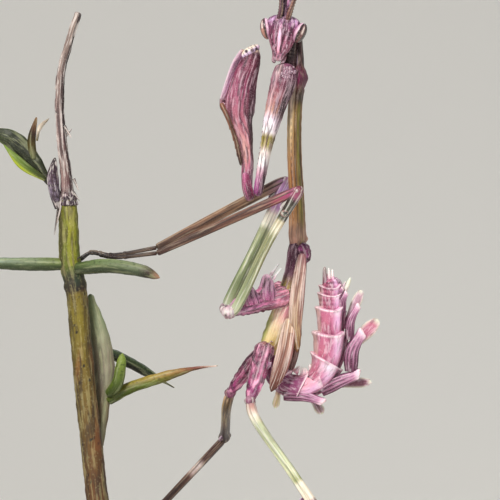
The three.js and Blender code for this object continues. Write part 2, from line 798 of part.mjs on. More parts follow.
// ---------------------------------------------------------------- twig
const twigReach = (a, b) => Math.hypot(a[0] - b[0], a[1] - b[1]);
const twigLength = TWIG.slice(1).reduce((sum, p, i) => sum + twigReach(p, TWIG[i]), 0);
let twigSoFar = 0;
const twigKeys = TWIG.map((p, i) => {
  twigSoFar += i ? twigReach(p, TWIG[i - 1]) : 0;
  return [twigSoFar / twigLength, p[2], p[2]];
});
const twigShape = (grow) =>
  fuse(
    tube({ path: TWIG.map(([x, z]) => [x, 0, z]), keys: twigKeys, sides: 10, grow }),
    // The ring at the top node, a dry bud beside it, and the broken side of the tip.
    tube({
      path: [[-14.55, 0, 57.0], [-14.6, 0, 58.7]],
      keys: [[0, 1.04, 1.0], [0.25, 1.14, 1.1], [0.55, 0.98, 0.95], [1, 0.68, 0.66]],
      sides: 8,
      grow,
    }),
    tube({
      path: [[-15.3, -0.3, 56.6], [-16.2, -0.45, 60.0], [-15.95, -0.2, 62.4]],
      keys: [[0, 0.36, 0.34], [0.25, 0.62, 0.5], [0.55, 0.82, 0.62], [0.8, 0.5, 0.4], [1, 0.1, 0.1]],
      sides: 8,
      grow,
    }),
    spine([-15.1, -0.1, 65.9], [-16.05, -0.4, 67.6], 0.27, grow),
  );
node("perch_twig", BARK, twigShape);

const thorn = (path, root, sides = 8) => (grow) =>
  tube({
    path,
    keys: [[0, 0.8 * root, 0.8 * root], [0.3, root, root], [0.75, 0.7 * root, 0.7 * root], [1, 0.08, 0.08]],
    sides,
    side: [0, 0, 1],
    grow,
  });
const shootShape = (grow) =>
  tube({
    path: [
      [-11.2, 0.9, 30.4],
      [-10.75, 1.9, 35.6],
      [-10.7, 2.2, 39.6],
      [-11.2, 2.3, 43.0],
      [-12.2, 2.4, 47.4],
    ],
    keys: [[0, 0.5, 0.5], [0.3, 0.8, 0.6], [0.55, 1.18, 0.6], [0.75, 0.98, 0.55], [1, 0.28, 0.28]],
    side: [1, 0, 0.2],
    sides: 8,
    grow,
  });
node("perch_shoot", THORN_GREEN, shootShape, [twigShape]);
const sprigShape = (grow) =>
  fuse(
    tube({
      path: [
        [-15.2, 1.2, 57.9],
        [-16.9, 1.5, 60.1],
        [-18.4, 1.7, 62.1],
        [-21.1, 1.8, 64.6],
        [-23.6, 1.9, 65.3],
      ],
      keys: [
        [0, 0.3, 0.3],
        [0.25, 0.45, 0.38],
        [0.48, 0.95, 0.42],
        [0.66, 1.15, 0.42],
        [0.85, 0.85, 0.36],
        [1, 0.1, 0.1],
      ],
      side: [0, 0, 1],
      sides: 8,
      grow,
    }),
    tube({
      path: [[-17.0, 1.4, 60.0], [-19.4, 1.2, 61.6], [-21.6, 1.2, 63.9]],
      keys: [[0, 0.3, 0.26], [0.5, 0.6, 0.3], [1, 0.1, 0.1]],
      side: [0, 0, 1],
      sides: 6,
      grow,
    }),
    spine([-18.0, 1.4, 64.6], [-16.75, 1.1, 66.7], 0.34, grow),
    tube({
      path: [[-18.4, 1.6, 62.2], [-18.5, 1.5, 64.4], [-18.1, 1.3, 66.8]],
      keys: [[0, 0.4, 0.4], [0.6, 0.34, 0.34], [1, 0.16, 0.16]],
      sides: 6,
      grow,
    }),
  );
node("perch_sprig", THORN_GREEN, sprigShape, [twigShape]);
const thorns = {
  perch_thorn_left: thorn([[-14.2, -0.2, 50.7], [-19.4, 0.3, 50.7], [-24.4, 0.8, 50.8]], 0.68),
  perch_thorn_right: thorn(
    [[-13.2, -0.9, 50.3], [-9.8, -3.0, 50.5], [-6.0, -4.3, 49.9], [-4.3, -4.8, 49.2]],
    0.72,
  ),
  perch_thorn_low: thorn([[-10.2, 1.6, 35.5], [-8.3, 1.2, 36.7], [-4.4, 1.0, 38.1], [1.9, 0.9, 39.5]], 0.62),
  perch_thorn_short: thorn([[-10.2, 1.3, 36.4], [-9.1, 0.3, 37.6], [-8.5, -0.2, 40.9]], 0.58),
  perch_thorn_far: thorn([[-10.2, 2.5, 41.0], [-7.0, 4.2, 39.3], [-2.9, 6.0, 36.9]], 0.56),
};
const placedThorns = [];
for (const [name, shape] of Object.entries(thorns)) {
  node(name, THORN_GREEN, shape, [twigShape, shootShape, ...placedThorns]);
  placedThorns.push(shape);
}

// ---------------------------------------------------------------- walking legs
const thoraxOf = { mid: mesothoraxShape, hind: metathoraxShape };
for (const [name, leg] of Object.entries(WALKING_LEGS)) {
  const [pair, side] = name.split("_");
  const outward = side === "left" ? LEFT : RIGHT;
  const at = (t) => mix(leg.hip, leg.trochanter, t);
  const run = unit(minus(leg.trochanter, leg.hip));
  const upright = pair === "mid" ? [-0.1, 0, 1] : [1, 0, 0.3];

  // Two broad leafy lobes stand on a mid coxa's upper edge, the inner one with a long spine, and one lobe on
  // a hind coxa's.
  const coxaLobes = {
    mid: [{ t: 0.36, reach: 2.5, lean: 0.35, half: 0.83 }, { t: 0.62, reach: 1.85, lean: -0.15, half: 0.98 }],
    hind: [{ t: 0.46, reach: 0.85 * leg.coxaHalf + 0.5, lean: 0, half: 0.5 }],
  }[pair];
  const onCoxa = (t, up, back) => plus(plus(at(t), upright, up), [back, outward * 0.3, 0]);
  const spines = pair === "mid" ? [[onCoxa(0.36, 1.4, 0.4), onCoxa(0.36, 3.65, 1.7)]] : [];

  const coxa = (grow) =>
    fuse(
      tube({
        path: [leg.hip, plus(at(0.5), [0, outward * 0.15, 0]), leg.trochanter],
        keys: [
          [0, (name === "hind_right" ? 0.6 : 0.8) * leg.coxaHalf, 0.6],
          [0.3, leg.coxaHalf, 0.68],
          [0.65, 0.87 * leg.coxaHalf, 0.6],
          [1, 0.5 * leg.coxaHalf, 0.4],
        ],
        side: upright,
        sides: 10,
        grow,
      }),
      ...coxaLobes.map(({ t, reach, lean, half }) =>
        lobe({ root: at(t), tip: onCoxa(t, reach, lean), half, waist: 1.1 * half, side: run, grow }),
      ),
      ...spines.map(([root, tip]) => spine(root, tip, 0.27, grow)),
    );
  const clear = [thoraxOf[pair], ...padShapes[side], ...(pair === "hind" ? [abdomenShapes[0]] : [])];
  node(`${pair}_coxa_${side}`, MAUVE, coxa, clear);

  const shin = unit(minus(leg.ankle, leg.knee));
  const thigh = unit(minus(leg.knee, leg.thigh));
  // Across the femur, towards the tibia's side.
  const inside = unit(plus(shin, thigh, -vec(shin).dot(vec(thigh))));
  const femurAt = (t) => mix(leg.thigh, leg.knee, t);
  const half = leg.femurHalf;
  const kneeHalf = (name === "hind_right" ? 1.3 : 1.1) * half;
  const femur = (grow) =>
    fuse(
      ball(leg.trochanter, [TROCHANTER_RADIUS, TROCHANTER_RADIUS, TROCHANTER_RADIUS], grow),
      tube({
        path: [leg.trochanter, leg.thigh, plus(femurAt(0.6), [leg.bow, 0, 0]), femurAt(1)],
        keys: [
          [0, 0.8 * half, 0.8 * half],
          [0.12, half, half],
          [0.4, 0.9 * half, 0.85 * half],
          [0.84, 0.85 * half, 0.8 * half],
          [0.93, kneeHalf, 0.92 * kneeHalf],
          [1, 0.7 * half, 0.7 * half],
        ],
        side: inside,
        sides: 8,
        grow,
      }),
      // The leaf-like lobe before the knee.
      lobe({
        root: femurAt(0.94),
        tip: plus(femurAt(0.81), inside, 0.95),
        half: 0.55,
        waist: 0.3,
        side: thigh,
        grow,
      }),
    );
  node(`${pair}_femur_${side}`, PALE_GREEN, femur, [coxa, thoraxOf[pair]]);

  const shinHalf = leg.tibiaHalf;
  const start = plus(leg.knee, shin, 0.4);
  const tibia = (grow) =>
    tube({
      path: [start, mix(start, leg.ankle, 0.5), leg.ankle],
      keys: [
        [0, 0.5 * shinHalf, 0.5 * shinHalf],
        [0.06, shinHalf, shinHalf],
        [0.12, 1.1 * shinHalf, shinHalf],
        [0.6, 0.95 * shinHalf, 0.9 * shinHalf],
        [1, 0.7 * shinHalf, 0.7 * shinHalf],
      ],
      side: thigh,
      sides: 8,
      grow,
    });
  node(`${pair}_tibia_${side}`, BROWN, tibia, [femur]);

  const foot = [leg.ankle, ...leg.foot];
  const tarsus = (grow) =>
    tube({
      path: foot,
      keys: [
        [0, TARSUS_HALF, TARSUS_HALF],
        [0.5, 1.1 * TARSUS_HALF, 1.05 * TARSUS_HALF],
        [0.85, 0.9 * TARSUS_HALF, 0.9 * TARSUS_HALF],
        [1, 0.5 * TARSUS_HALF, 0.5 * TARSUS_HALF],
      ],
      side: [0, 0.3, 1],
      sides: 7,
      steps: 2,
      grow,
    });
  node(`${pair}_tarsus_${side}`, BROWN, tarsus, [tibia, twigShape]);
}

// ---------------------------------------------------------------- stand
const stand = new THREE.Group();

function baseShape() {
  const { length, width, height, corner, bevel } = BASE;
  const [x, y, r] = [length / 2 - bevel, width / 2 - bevel, corner - bevel];
  const outline = new THREE.Shape()
    .moveTo(r - x, -y)
    .lineTo(x - r, -y)
    .absarc(x - r, r - y, r, -Math.PI / 2, 0)
    .lineTo(x, y - r)
    .absarc(x - r, y - r, r, 0, Math.PI / 2)
    .lineTo(r - x, y)
    .absarc(r - x, y - r, r, Math.PI / 2, Math.PI)
    .lineTo(-x, r - y)
    .absarc(r - x, r - y, r, Math.PI, 1.5 * Math.PI);
  const geometry = new THREE.ExtrudeGeometry(outline, {
    depth: height - 2 * bevel,
    bevelThickness: bevel,
    bevelSize: bevel,
    bevelSegments: 1,
    curveSegments: 5,
  });
  return solidOf(geometry.translate(0, 0, bevel));
}
node("stand_base", WALNUT, baseShape, [], stand);

const [footX, footZ] = TWIG[TWIG.length - 1];
const rodBottom = BASE.height + GAP;
const rodTop = footZ - GAP;
const rod = new THREE.CylinderGeometry(ROD_RADIUS, ROD_RADIUS, rodTop - rodBottom, 16).rotateX(Math.PI / 2);
rod.translate(footX, MIDPLANE_Y, (rodTop + rodBottom) / 2);
node("stand_rod", STEEL, () => solidOf(rod), [], stand);

const model = new THREE.Group();
model.add(animal, stand);
export default model;
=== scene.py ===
# A conehead mantis nymph on a thorny twig, seen from its left side. Shapes are worked out in millimetres, in
# the animal's own frame: +Z towards its head, +X towards its back, +Y towards its right, y = 0 its midplane.
import math

import bpy
import numpy as np
from mathutils import Matrix, Vector


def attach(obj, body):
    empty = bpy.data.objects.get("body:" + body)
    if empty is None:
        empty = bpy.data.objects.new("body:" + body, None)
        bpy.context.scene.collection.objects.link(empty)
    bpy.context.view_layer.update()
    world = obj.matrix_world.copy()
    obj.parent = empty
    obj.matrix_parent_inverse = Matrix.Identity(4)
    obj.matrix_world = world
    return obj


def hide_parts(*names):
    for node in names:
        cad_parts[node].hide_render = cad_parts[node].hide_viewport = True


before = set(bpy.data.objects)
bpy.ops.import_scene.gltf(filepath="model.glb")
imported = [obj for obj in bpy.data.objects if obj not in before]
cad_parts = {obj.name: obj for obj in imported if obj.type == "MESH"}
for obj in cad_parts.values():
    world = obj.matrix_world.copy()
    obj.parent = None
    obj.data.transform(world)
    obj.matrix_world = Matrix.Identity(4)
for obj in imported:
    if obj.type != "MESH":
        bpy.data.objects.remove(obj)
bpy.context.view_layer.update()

MM = 0.001
MIDPLANE_Y = -4.0
LEFT, RIGHT = -1, 1
SIDES = {"left": LEFT, "right": RIGHT}

# ---------------------------------------------------------------- driving dimensions
# Points are (x, y, z) in mm. Lines of the body run from head to tail, and those of legs outwards.
HEAD_CENTRE = (9.05, -1.3, 75.7)
HEAD_TILT, HEAD_TURN = 8, -14
CHIN, VERTEX = -2.6, 2.4
CROWN_TOP = VERTEX + 5.7
EYE_OUT, EYE_UP, EYE_HALF, EYE_LEAN = 1.9, 0.6, (0.66, 0.95, 1.2), 18

PROTHORAX_LINE = [(10.9, 0, 76.0), (10.95, 0, 74.3), (11.0, 0, 72.4), (10.45, 0, 68.2), (10.35, 0, 63.2),
                  (10.6, 0, 57.8), (10.7, 0, 52.6)]
MESOTHORAX_LINE = [(10.7, 0, 53.2), (10.2, 0, 49.2), (9.4, 0, 46.2)]
METATHORAX_LINE = [(9.7, 0, 47.2), (9.3, 0, 46.1), (8.3, 0, 43.3), (7.2, 0, 40.4)]
ABDOMEN_LINE = [(7.4, 0, 40.6), (8.5, 0, 38.4), (9.9, 0, 37.4), (11.5, 0, 37.3), (13.0, 0, 38.3),
                (14.05, 0, 40.1), (14.4, 0, 42.2), (14.45, 0, 44.5), (14.5, 0, 48.2), (14.45, 0, 49.3)]
# Where the segments start, in mm along the line.
ABDOMEN_JOINTS = [0, 2.6, 5.05, 7.45, 9.15, 12.2, 14.95, 16.5, 17.3]
RIM_TILT = {1: 0.9, 2: 1.0, 3: 0.2}  # how far a rear rim lies further back at the crest than at half height
CREST_DIP = {1: 0.14, 2: 0.34, 3: 0.3}
CREST_TEETH = {  # root and tip of the white teeth on the crest, x and z
    1: [((10.4, 38.75), (11.0, 39.5)), ((11.4, 38.3), (11.2, 39.45))],
    2: [((11.75, 38.5), (11.5, 39.4)), ((12.45, 38.7), (11.95, 39.8))],
    3: [((12.9, 39.9), (12.25, 41.15))],
}
# Shares of the length with the half depth there.
ABDOMEN_HALF_DEPTH = [(0, 1.0), (0.12, 1.3), (0.26, 1.5), (0.4, 1.65), (0.47, 1.9), (0.53, 2.0),
                      (0.66, 1.9), (0.8, 1.62), (0.88, 1.42), (0.94, 1.28), (1, 0.8)]
ABDOMEN_BREADTH = 1.15
# Under each segment: its leaf's root and tip (x, z) in the midplane and its half width, then three points
# (x, z) of the keel on each side of it and the keel's half width.
BELLY_LOBES = {
    1: dict(root=(8.7, 37.1), tip=(8.25, 34.8), half=0.42),
    2: dict(root=(12.2, 36.2), tip=(13.5, 34.2), half=0.55,
            keel=[(9.2, 36.25), (11.45, 36.2), (13.65, 35.5)], keel_half=0.6),
    3: dict(root=(14.3, 37.4), tip=(18.9, 37.75), half=0.56,
            keel=[(13.3, 36.75), (15.2, 37.75), (17.6, 38.7)], keel_half=0.72),
    4: dict(root=(15.6, 40.6), tip=(19.65, 44.6), half=0.82,
            keel=[(16.6, 38.9), (16.75, 41.2), (17.95, 43.35)], keel_half=0.76),
    5: dict(root=(15.9, 43.6), tip=(17.8, 47.85), half=0.58,
            keel=[(16.45, 42.4), (16.6, 44.5), (17.5, 46.25)], keel_half=0.46),
    6: dict(root=(15.4, 46.0), tip=(16.55, 49.25), half=0.22,
            keel=[(15.65, 45.4), (15.7, 46.6), (16.15, 47.65)], keel_half=0.38),
    7: dict(root=(15.2, 47.1), tip=(16.05, 48.85), half=0.14,
            keel=[(15.25, 46.9), (15.35, 47.5), (15.7, 48.1)], keel_half=0.27),
}
KEEL_Y = 1.0

FORE_COXA = [(9.5, 1.15, 72.75), (9.15, 1.55, 70.6), (8.35, 1.95, 68.0), (7.45, 2.4, 64.3), (6.3, 2.9, 58.2)]
FORE_FEMUR = [(5.3, 2.9, 58.1), (5.15, 2.85, 60.0), (5.2, 2.75, 61.8), (4.98, 2.6, 64.1), (4.3, 2.5, 67.0),
              (4.5, 2.38, 69.5), (5.05, 2.25, 71.6), (5.8, 2.15, 73.7), (5.95, 2.1, 74.7)]
FORE_TIBIA = [(4.95, 2.1, 74.15), (4.0, 2.15, 72.6), (3.15, 2.25, 70.4), (2.45, 2.35, 68.5)]
FORE_HOOK = [(2.45, 2.35, 68.8), (2.4, 2.35, 67.9), (2.95, 2.35, 67.3)]
FORE_TARSUS = [(2.35, 2.8, 68.3), (3.25, 3.65, 66.3), (3.95, 3.5, 64.2), (4.55, 3.2, 61.6)]

# The coxa goes from hip to trochanter, the femur from thigh to knee, the tibia from knee to ankle, and the
# tarsus from there through the points of foot. bow moves the middle of the femur along x.
WALKING_LEGS = {
    "mid_left": dict(
        hip=(9.9, -1.0, 47.4),
        trochanter=(3.2, -4.3, 45.5),
        thigh=(3.6, -4.3, 45.5),
        knee=(10.95, -5.7, 58.9),
        ankle=(-4.7, -1.5, 51.9),
        foot=[(-9.7, -1.5, 51.45), (-11.9, -1.5, 51.95), (-13.1, -1.55, 51.4)],
        coxa_half=1.0,
        coxa_lobe=2.1,
        femur_half=0.55,
        tibia_half=0.48,
        bow=-0.28,
    ),
    "mid_right": dict(
        hip=(9.7, 1.0, 47.9),
        trochanter=(2.9, 4.3, 45.7),
        thigh=(2.9, 4.3, 45.8),
        knee=(9.6, 5.7, 60.1),
        ankle=(-4.8, 1.5, 52.5),
        foot=[(-9.8, 1.4, 51.7), (-12.0, 1.5, 52.0), (-13.2, 1.6, 51.1)],
        coxa_half=1.0,
        coxa_lobe=2.1,
        femur_half=0.68,
        tibia_half=0.57,
        bow=0.1,
    ),
    "hind_left": dict(
        hip=(7.3, -0.9, 42.2),
        trochanter=(5.5, -3.4, 35.8),
        thigh=(5.9, -3.7, 34.2),
        knee=(12.95, -7.0, 23.8),
        ankle=(-4.0, -3.7, 14.5),
        foot=[(-7.0, -2.9, 12.5), (-8.4, -2.1, 11.7), (-9.0, -1.75, 10.3)],
        coxa_half=0.98,
        coxa_lobe=0.9,
        femur_half=0.57,
        tibia_half=0.42,
        bow=0,
    ),
    "hind_right": dict(
        hip=(6.75, 0.9, 41.2),
        trochanter=(3.3, 4.1, 36.4),
        thigh=(2.95, 5.6, 35.0),
        knee=(2.6, 17.5, 30.8),
        ankle=(-8.6, 5.9, 19.3),
        foot=[(-9.4, 3.6, 17.3), (-9.9, 2.3, 16.2), (-10.3, 1.8, 14.8)],
        coxa_half=0.9,
        coxa_lobe=0.9,
        femur_half=0.55,
        tibia_half=0.44,
        bow=0,
    ),
}
TARSUS_HALF = 0.23

FORE_PAD = dict(line=[(11.25, 1.2, 51.9), (10.7, 1.95, 47.6), (10.45, 2.1, 44.0), (10.7, 2.1, 41.0)],
                half=0.82, far_shift=0.1,
                tints=[(0, "b88490"), (0.15, "c4a8a0"), (0.45, "d4c0b0"), (0.75, "c8b498"),
                       (0.93, "a88c60"), (1, "84643c")])
# The hind pad's tints darken towards its lower end: painted shade.
HIND_PAD = dict(line=[(9.9, 1.75, 44.8), (9.1, 2.5, 40.3), (7.8, 2.5, 36.7)], half=0.96, far_shift=0.75,
                tints=[(0, "e4d0b4"), (0.25, "d4b49c"), (0.5, "b49084"), (0.75, "946c60"), (0.93, "744c40"),
                       (1, "603c2c")])

TWIG = [  # x, z, half thickness
    (-13.35, 78.4, 0.34),
    (-14.35, 75.3, 0.37),
    (-15.25, 72.0, 0.41),
    (-15.45, 68.7, 0.45),
    (-15.3, 65.4, 0.48),
    (-14.8, 61.0, 0.57),
    (-14.6, 58.9, 0.68),
    (-14.55, 57.9, 0.92),
    (-14.5, 56.1, 1.05),
    (-14.4, 52.2, 1.15),
    (-14.3, 51.0, 1.2),
    (-13.6, 47.6, 1.16),
    (-13.2, 43.1, 1.15),
    (-12.6, 36.8, 1.17),
    (-12.0, 31.3, 1.2),
    (-11.35, 25.3, 1.22),
    (-9.4, 8.2, 1.27),
]
BASE_LENGTH, BASE_WIDTH, BASE_HEIGHT, BASE_CORNER, BASE_BEVEL = 50, 34, 4, 5, 0.6
ROD_RADIUS = 0.8


# ---------------------------------------------------------------- colours
TINT_GAIN, TINT_POWER = 1.12, 1.45


def rgb(code):
    """A hex colour as linear light."""
    c = np.array([int(code[i : i + 2], 16) for i in (0, 2, 4)]) / 255
    return np.where(c <= 0.04045, c / 12.92, ((c + 0.055) / 1.055) ** 2.4)


def bands(*stops):
    """Paints a form along its length: stops are (share, hex)."""

    def paint(form):
        share = [s for s, _ in stops]
        light = np.array([rgb(code) for _, code in stops])
        return np.stack([np.interp(form.u, share, light[:, i]) for i in range(3)], 1)

    return paint


def clamp(value):
    """value held between 0 and 1."""
    return np.clip(value, 0, 1)


def mixed(base, code, weight):
    """base moved towards a hex colour by weight, one number a point."""
    w = clamp(weight)[:, None]
    return base * (1 - w) + rgb(code) * w


def layered(base, *layers):
    """base with hex colours mixed over it one after the other: layers are (hex, weight)."""
    for code, weight in layers:
        base = mixed(base, code, weight)
    return base


def deepened(tint):
    """The paints' colours with their middle tones darker and richer, as skin has them in soft light."""
    return clamp(TINT_GAIN * clamp(tint) ** TINT_POWER)


def near(value, centre, width):
    """1 at centre, falling to 0 about width away."""
    return np.exp(-(((value - centre) / width) ** 2))


def twins(angle, centre, width):
    """near for an angle of a section and for its mirror image on the other side."""
    return near(angle, centre, width) + near(angle, (180 - centre) % 360, width)


def facing(form, direction):
    """How far each point of a form looks along a direction, from -1 to 1."""
    d = np.asarray(direction, float)
    return form.out @ (d / np.linalg.norm(d))


# ---------------------------------------------------------------- forms
class Form:
    """A closed surface: points in mm and faces. Each point has its share u of the length, its angle, its way
    out, its place flow across and along the form in mm, and its tint."""

    def __init__(self, points, faces, u, angle, out, flow):
        self.points, self.faces, self.u, self.angle = points, faces, u, angle
        self.out, self.flow = out, flow
        self.tint = np.full((len(points), 3), 0.5)

    def painted(self, paint):
        """Sets the tint by a paint, which is a function of the form."""
        self.tint = paint(self)
        return self


def smooth_line(points, count=400, steps=30):
    """Many points evenly along the centripetal Catmull-Rom line through points."""
    p = np.asarray(points, float)
    if len(p) == 2:
        return p[0] + (p[1] - p[0]) * np.linspace(0, 1, count)[:, None]
    p = np.vstack([2 * p[0] - p[1], p, 2 * p[-1] - p[-2]])
    fine = []
    for a, b, c, d in zip(p, p[1:], p[2:], p[3:]):
        ta = 0.0
        tb = ta + np.linalg.norm(b - a) ** 0.5
        tc = tb + np.linalg.norm(c - b) ** 0.5
        td = tc + np.linalg.norm(d - c) ** 0.5
        t = np.linspace(tb, tc, steps, endpoint=False)[:, None]
        ab = between(a, b, ta, tb, t)
        bc = between(b, c, tb, tc, t)
        cd = between(c, d, tc, td, t)
        fine.append(between(between(ab, bc, ta, tc, t), between(bc, cd, tb, td, t), tb, tc, t))
    fine = np.vstack(fine + [p[-2]])
    run = np.concatenate([[0], np.cumsum(np.linalg.norm(np.diff(fine, axis=0), axis=1))])
    even = np.linspace(0, run[-1], count)
    return np.stack([np.interp(even, run, fine[:, i]) for i in range(3)], 1)


def between(start, end, t_start, t_end, t):
    """Straight-line blend of start and end at the times t."""
    return (start * (t_end - t) + end * (t - t_start)) / (t_end - t_start)


def ease(x, rows):
    """Smooth values of rows [(share, value, ...)] at x, with no overshoot between rows."""
    rows = np.asarray(rows, float)
    xs, ys = rows[:, 0], rows[:, 1:]
    step = np.diff(xs)[:, None]
    slope = np.diff(ys, axis=0) / step
    rise = np.zeros_like(ys)
    same = slope[:-1] * slope[1:] > 0
    safe = np.where(same, slope[:-1] + slope[1:], 1)
    rise[1:-1] = np.where(same, 2 * slope[:-1] * slope[1:] / safe, 0)
    rise[0], rise[-1] = slope[0], slope[-1]
    i = np.clip(np.searchsorted(xs, x, side="right") - 1, 0, len(xs) - 2)
    t = clamp((x - xs[i]) / (xs[i + 1] - xs[i]))[:, None]
    h = step[i]
    return (
        ys[i] * (1 + 2 * t) * (1 - t) ** 2
        + rise[i] * h * t * (1 - t) ** 2
        + ys[i + 1] * t * t * (3 - 2 * t)
        + rise[i + 1] * h * t * t * (t - 1)
    )


def sized(rows, *sizes):
    """Rows of half sizes from rows that give them as shares of the sizes."""
    return [(row[0], *(part * size for part, size in zip(row[1:], sizes))) for row in rows]


def half_at(u, keys):
    """The half sizes of rows at the share u."""
    return ease(np.array([u]), keys)[0]


def point_at(line, u):
    """The point of a smooth line at the share u."""
    return line[int(u * (len(line) - 1))]


def read_at(rows, at):
    """Rows of three numbers, read at the fractional row numbers at."""
    return np.stack([np.interp(at, np.arange(len(rows)), rows[:, i]) for i in range(3)], 1)


def unit_rows(rows):
    """Each row as a vector of length 1."""
    return rows / np.linalg.norm(rows, axis=1)[:, None]


LEAST_END = 0.02  # the share of its section that a rounded end keeps at its very tip


def rounding(u, length, ends):
    """How much of its section a tube keeps at the shares u, where its ends round off over some mm."""
    kept = np.ones((len(u), 1))
    for end, far in zip(ends, (u * length, (1 - u) * length)):
        if end:
            near_end = clamp(far / end)
            kept = kept * np.sqrt(np.clip(1 - (1 - near_end) ** 2, LEAST_END**2, 1))[:, None]
    return kept


def tube_quads(rings, sides):
    """The faces between rings of points."""
    ring, spoke = np.arange(rings - 1)[:, None] * sides, np.arange(sides)[None, :]
    turn = (spoke + 1) % sides
    corners = (ring + spoke, ring + turn, ring + sides + turn, ring + sides + spoke)
    return np.stack(corners, 2).reshape(-1, 4).tolist()


def end_fans(rings, sides):
    """The faces that close a tube's ends, each round a middle point that comes after the rings' points."""
    middle, top = rings * sides, (rings - 1) * sides
    fans = [(middle, (j + 1) % sides, j) for j in range(sides)]
    return fans + [(middle + 1, top + j, top + (j + 1) % sides) for j in range(sides)]


def loft(path, keys, side=(0, 1, 0), sides=32, rings=60, shape=None, relief=None, slide=None, ends=(0, 0)):
    """A closed tube along a smooth line. keys rows are (share, half along side, half across it), or (share,
    half) for a round one. shape(u, angle) scales a section, relief(u, angle, s) adds mm outwards and
    slide(u, angle) moves points along the line by mm. ends are the lengths in mm over which each end rounds
    off. angle is in degrees, 0 along side and 90 along line x side."""
    line = smooth_line(path)
    length = np.linalg.norm(np.diff(line, axis=0), axis=1).sum()
    t = np.linspace(0, 1, rings)
    # Rings lie closer together towards ends that round off.
    u = 0.45 * t + 0.55 * (0.5 - 0.5 * np.cos(np.pi * t)) if any(ends) else t
    at = u * (len(line) - 1)
    centre = read_at(line, at)
    tangent = unit_rows(read_at(np.gradient(line, axis=0), at))
    side = np.asarray(side, float)
    across = unit_rows(side - (tangent @ side)[:, None] * tangent)
    up = np.cross(tangent, across)
    half = ease(u, keys) * rounding(u, length, ends)
    a, b = half[:, :1], half[:, -1:]
    angle = np.degrees(2 * np.pi * np.arange(sides) / sides)[None, :]
    cos, sin = np.cos(np.radians(angle)), np.sin(np.radians(angle))
    uu, ss = u[:, None], (u * length)[:, None]
    scale = shape(uu, angle) if shape else 1.0
    extra = relief(uu, angle, ss) if relief else 0.0
    ra, rb = a * scale + extra, b * scale + extra
    points = centre[:, None] + (ra * cos)[..., None] * across[:, None] + (rb * sin)[..., None] * up[:, None]
    if slide:
        points = points + slide(uu, angle)[..., None] * tangent[:, None]
    out = (cos * b)[..., None] * across[:, None] + (sin * a)[..., None] * up[:, None]
    out /= np.linalg.norm(out, axis=2)[..., None] + 1e-12
    flow = np.stack(np.broadcast_arrays(a * cos, b * sin, ss), 2)
    return Form(
        np.vstack([points.reshape(-1, 3), points[0].mean(0), points[-1].mean(0)]),
        tube_quads(rings, sides) + end_fans(rings, sides),
        np.append(np.repeat(u, sides), [0, 1]),
        np.append(np.tile(angle[0], rings), [0, 0]),
        np.vstack([out.reshape(-1, 3), -tangent[0], tangent[-1]]),
        np.vstack([flow.reshape(-1, 3), (0, 0, 0), (0, 0, length)]),
    )


def orb(centre, half, matrix=None, sides=32, rings=24):
    """An ellipsoid, turned by matrix about its centre. Its poles are on its own Z."""
    lat = np.linspace(0, np.pi, rings)[:, None]
    lon = 2 * np.pi * np.arange(sides)[None, :] / sides
    unit = np.stack(np.broadcast_arrays(np.sin(lat) * np.cos(lon), np.sin(lat) * np.sin(lon), np.cos(lat)), 2)
    unit = unit.reshape(-1, 3)[sides - 1 : -(sides - 1)]
    turn = np.array(matrix) if matrix else np.eye(3)
    points = np.asarray(centre) + (unit * np.asarray(half)) @ turn.T
    out = unit / np.asarray(half)
    out = (out / np.linalg.norm(out, axis=1)[:, None]) @ turn.T
    last = len(points) - 1
    faces = [(0, 1 + j, 1 + (j + 1) % sides) for j in range(sides)]
    for i in range(rings - 3):
        low, high = 1 + i * sides, 1 + (i + 1) * sides
        faces += [(low + j, high + j, high + (j + 1) % sides, low + (j + 1) % sides) for j in range(sides)]
    low = 1 + (rings - 3) * sides
    faces += [(low + j, last, low + (j + 1) % sides) for j in range(sides)]
    angle = np.degrees(np.arctan2(unit[:, 1], unit[:, 0])) % 360
    return Form(points, faces, 0.5 - 0.5 * unit[:, 2], angle, out, unit * np.asarray(half))


def spine(root, tip, radius, bend=None, sides=10, rings=12, blunt=0.12):
    """A tapering spine."""
    path = [root, bend, tip] if bend is not None else [root, tip]
    side = (0, 0, 1) if abs(tip[1] - root[1]) > abs(tip[2] - root[2]) else (0, 1, 0)
    keys = sized([(0, 1), (0.5, 0.62), (1, blunt)], radius)
    return loft(path, keys, side=side, sides=sides, rings=rings, ends=(0, 0.1))


def leaf(root, tip, half, side, waist=None, bend=None, thick=0.16, ripple=0.0, peak=0.66, blunt=0.12):
    """A flat lobe with a thicker middle vein and a thin rim."""
    waist = half if waist is None else waist
    keys = [(0, waist, 1.4 * thick), (0.35, 0.5 * (waist + half), 1.2 * thick), (peak, half, thick),
            (0.5 + 0.5 * peak, 0.78 * half, 0.8 * thick), (1, blunt * half, 0.4 * thick)]
    path = [root, bend, tip] if bend is not None else [root, tip]
    form = loft(path, keys, side=side, sides=28, rings=36, ends=(0, 0.35),
                relief=lambda u, a, s: 0.06 * near(a % 180, 90, 14) * (1 - u))
    if ripple:
        across = np.cross(np.asarray(side, float), np.subtract(tip, root))
        across /= np.linalg.norm(across)
        wave = ripple * np.sin(form.u * 9 + form.flow[:, 0] * 2) * form.u
        form.points = form.points + wave[:, None] * across
    return form


def patches(form, pitch, seed, stretch=0.3):
    """Irregular patches drawn out along a form, 0 to 1."""
    return clamp(1.6 * ripples(form.flow * (1, 1, stretch), pitch, seed) - 0.5)


def plus(a, b, k=1.0):
    """a with k times b added."""
    return tuple(np.asarray(a, float) + np.asarray(b, float) * k)


def mix(a, b, t):
    """The point at the share t of the way from a to b."""
    return tuple(np.asarray(a, float) * (1 - t) + np.asarray(b, float) * t)


def unit(a):
    """A vector at length 1."""
    a = np.asarray(a, float)
    return a / np.linalg.norm(a)


def mirrored(points, s):
    """Points with y times s: as they are for the right side, the other way round for the left."""
    return [(x, s * y, z) for x, y, z in points]


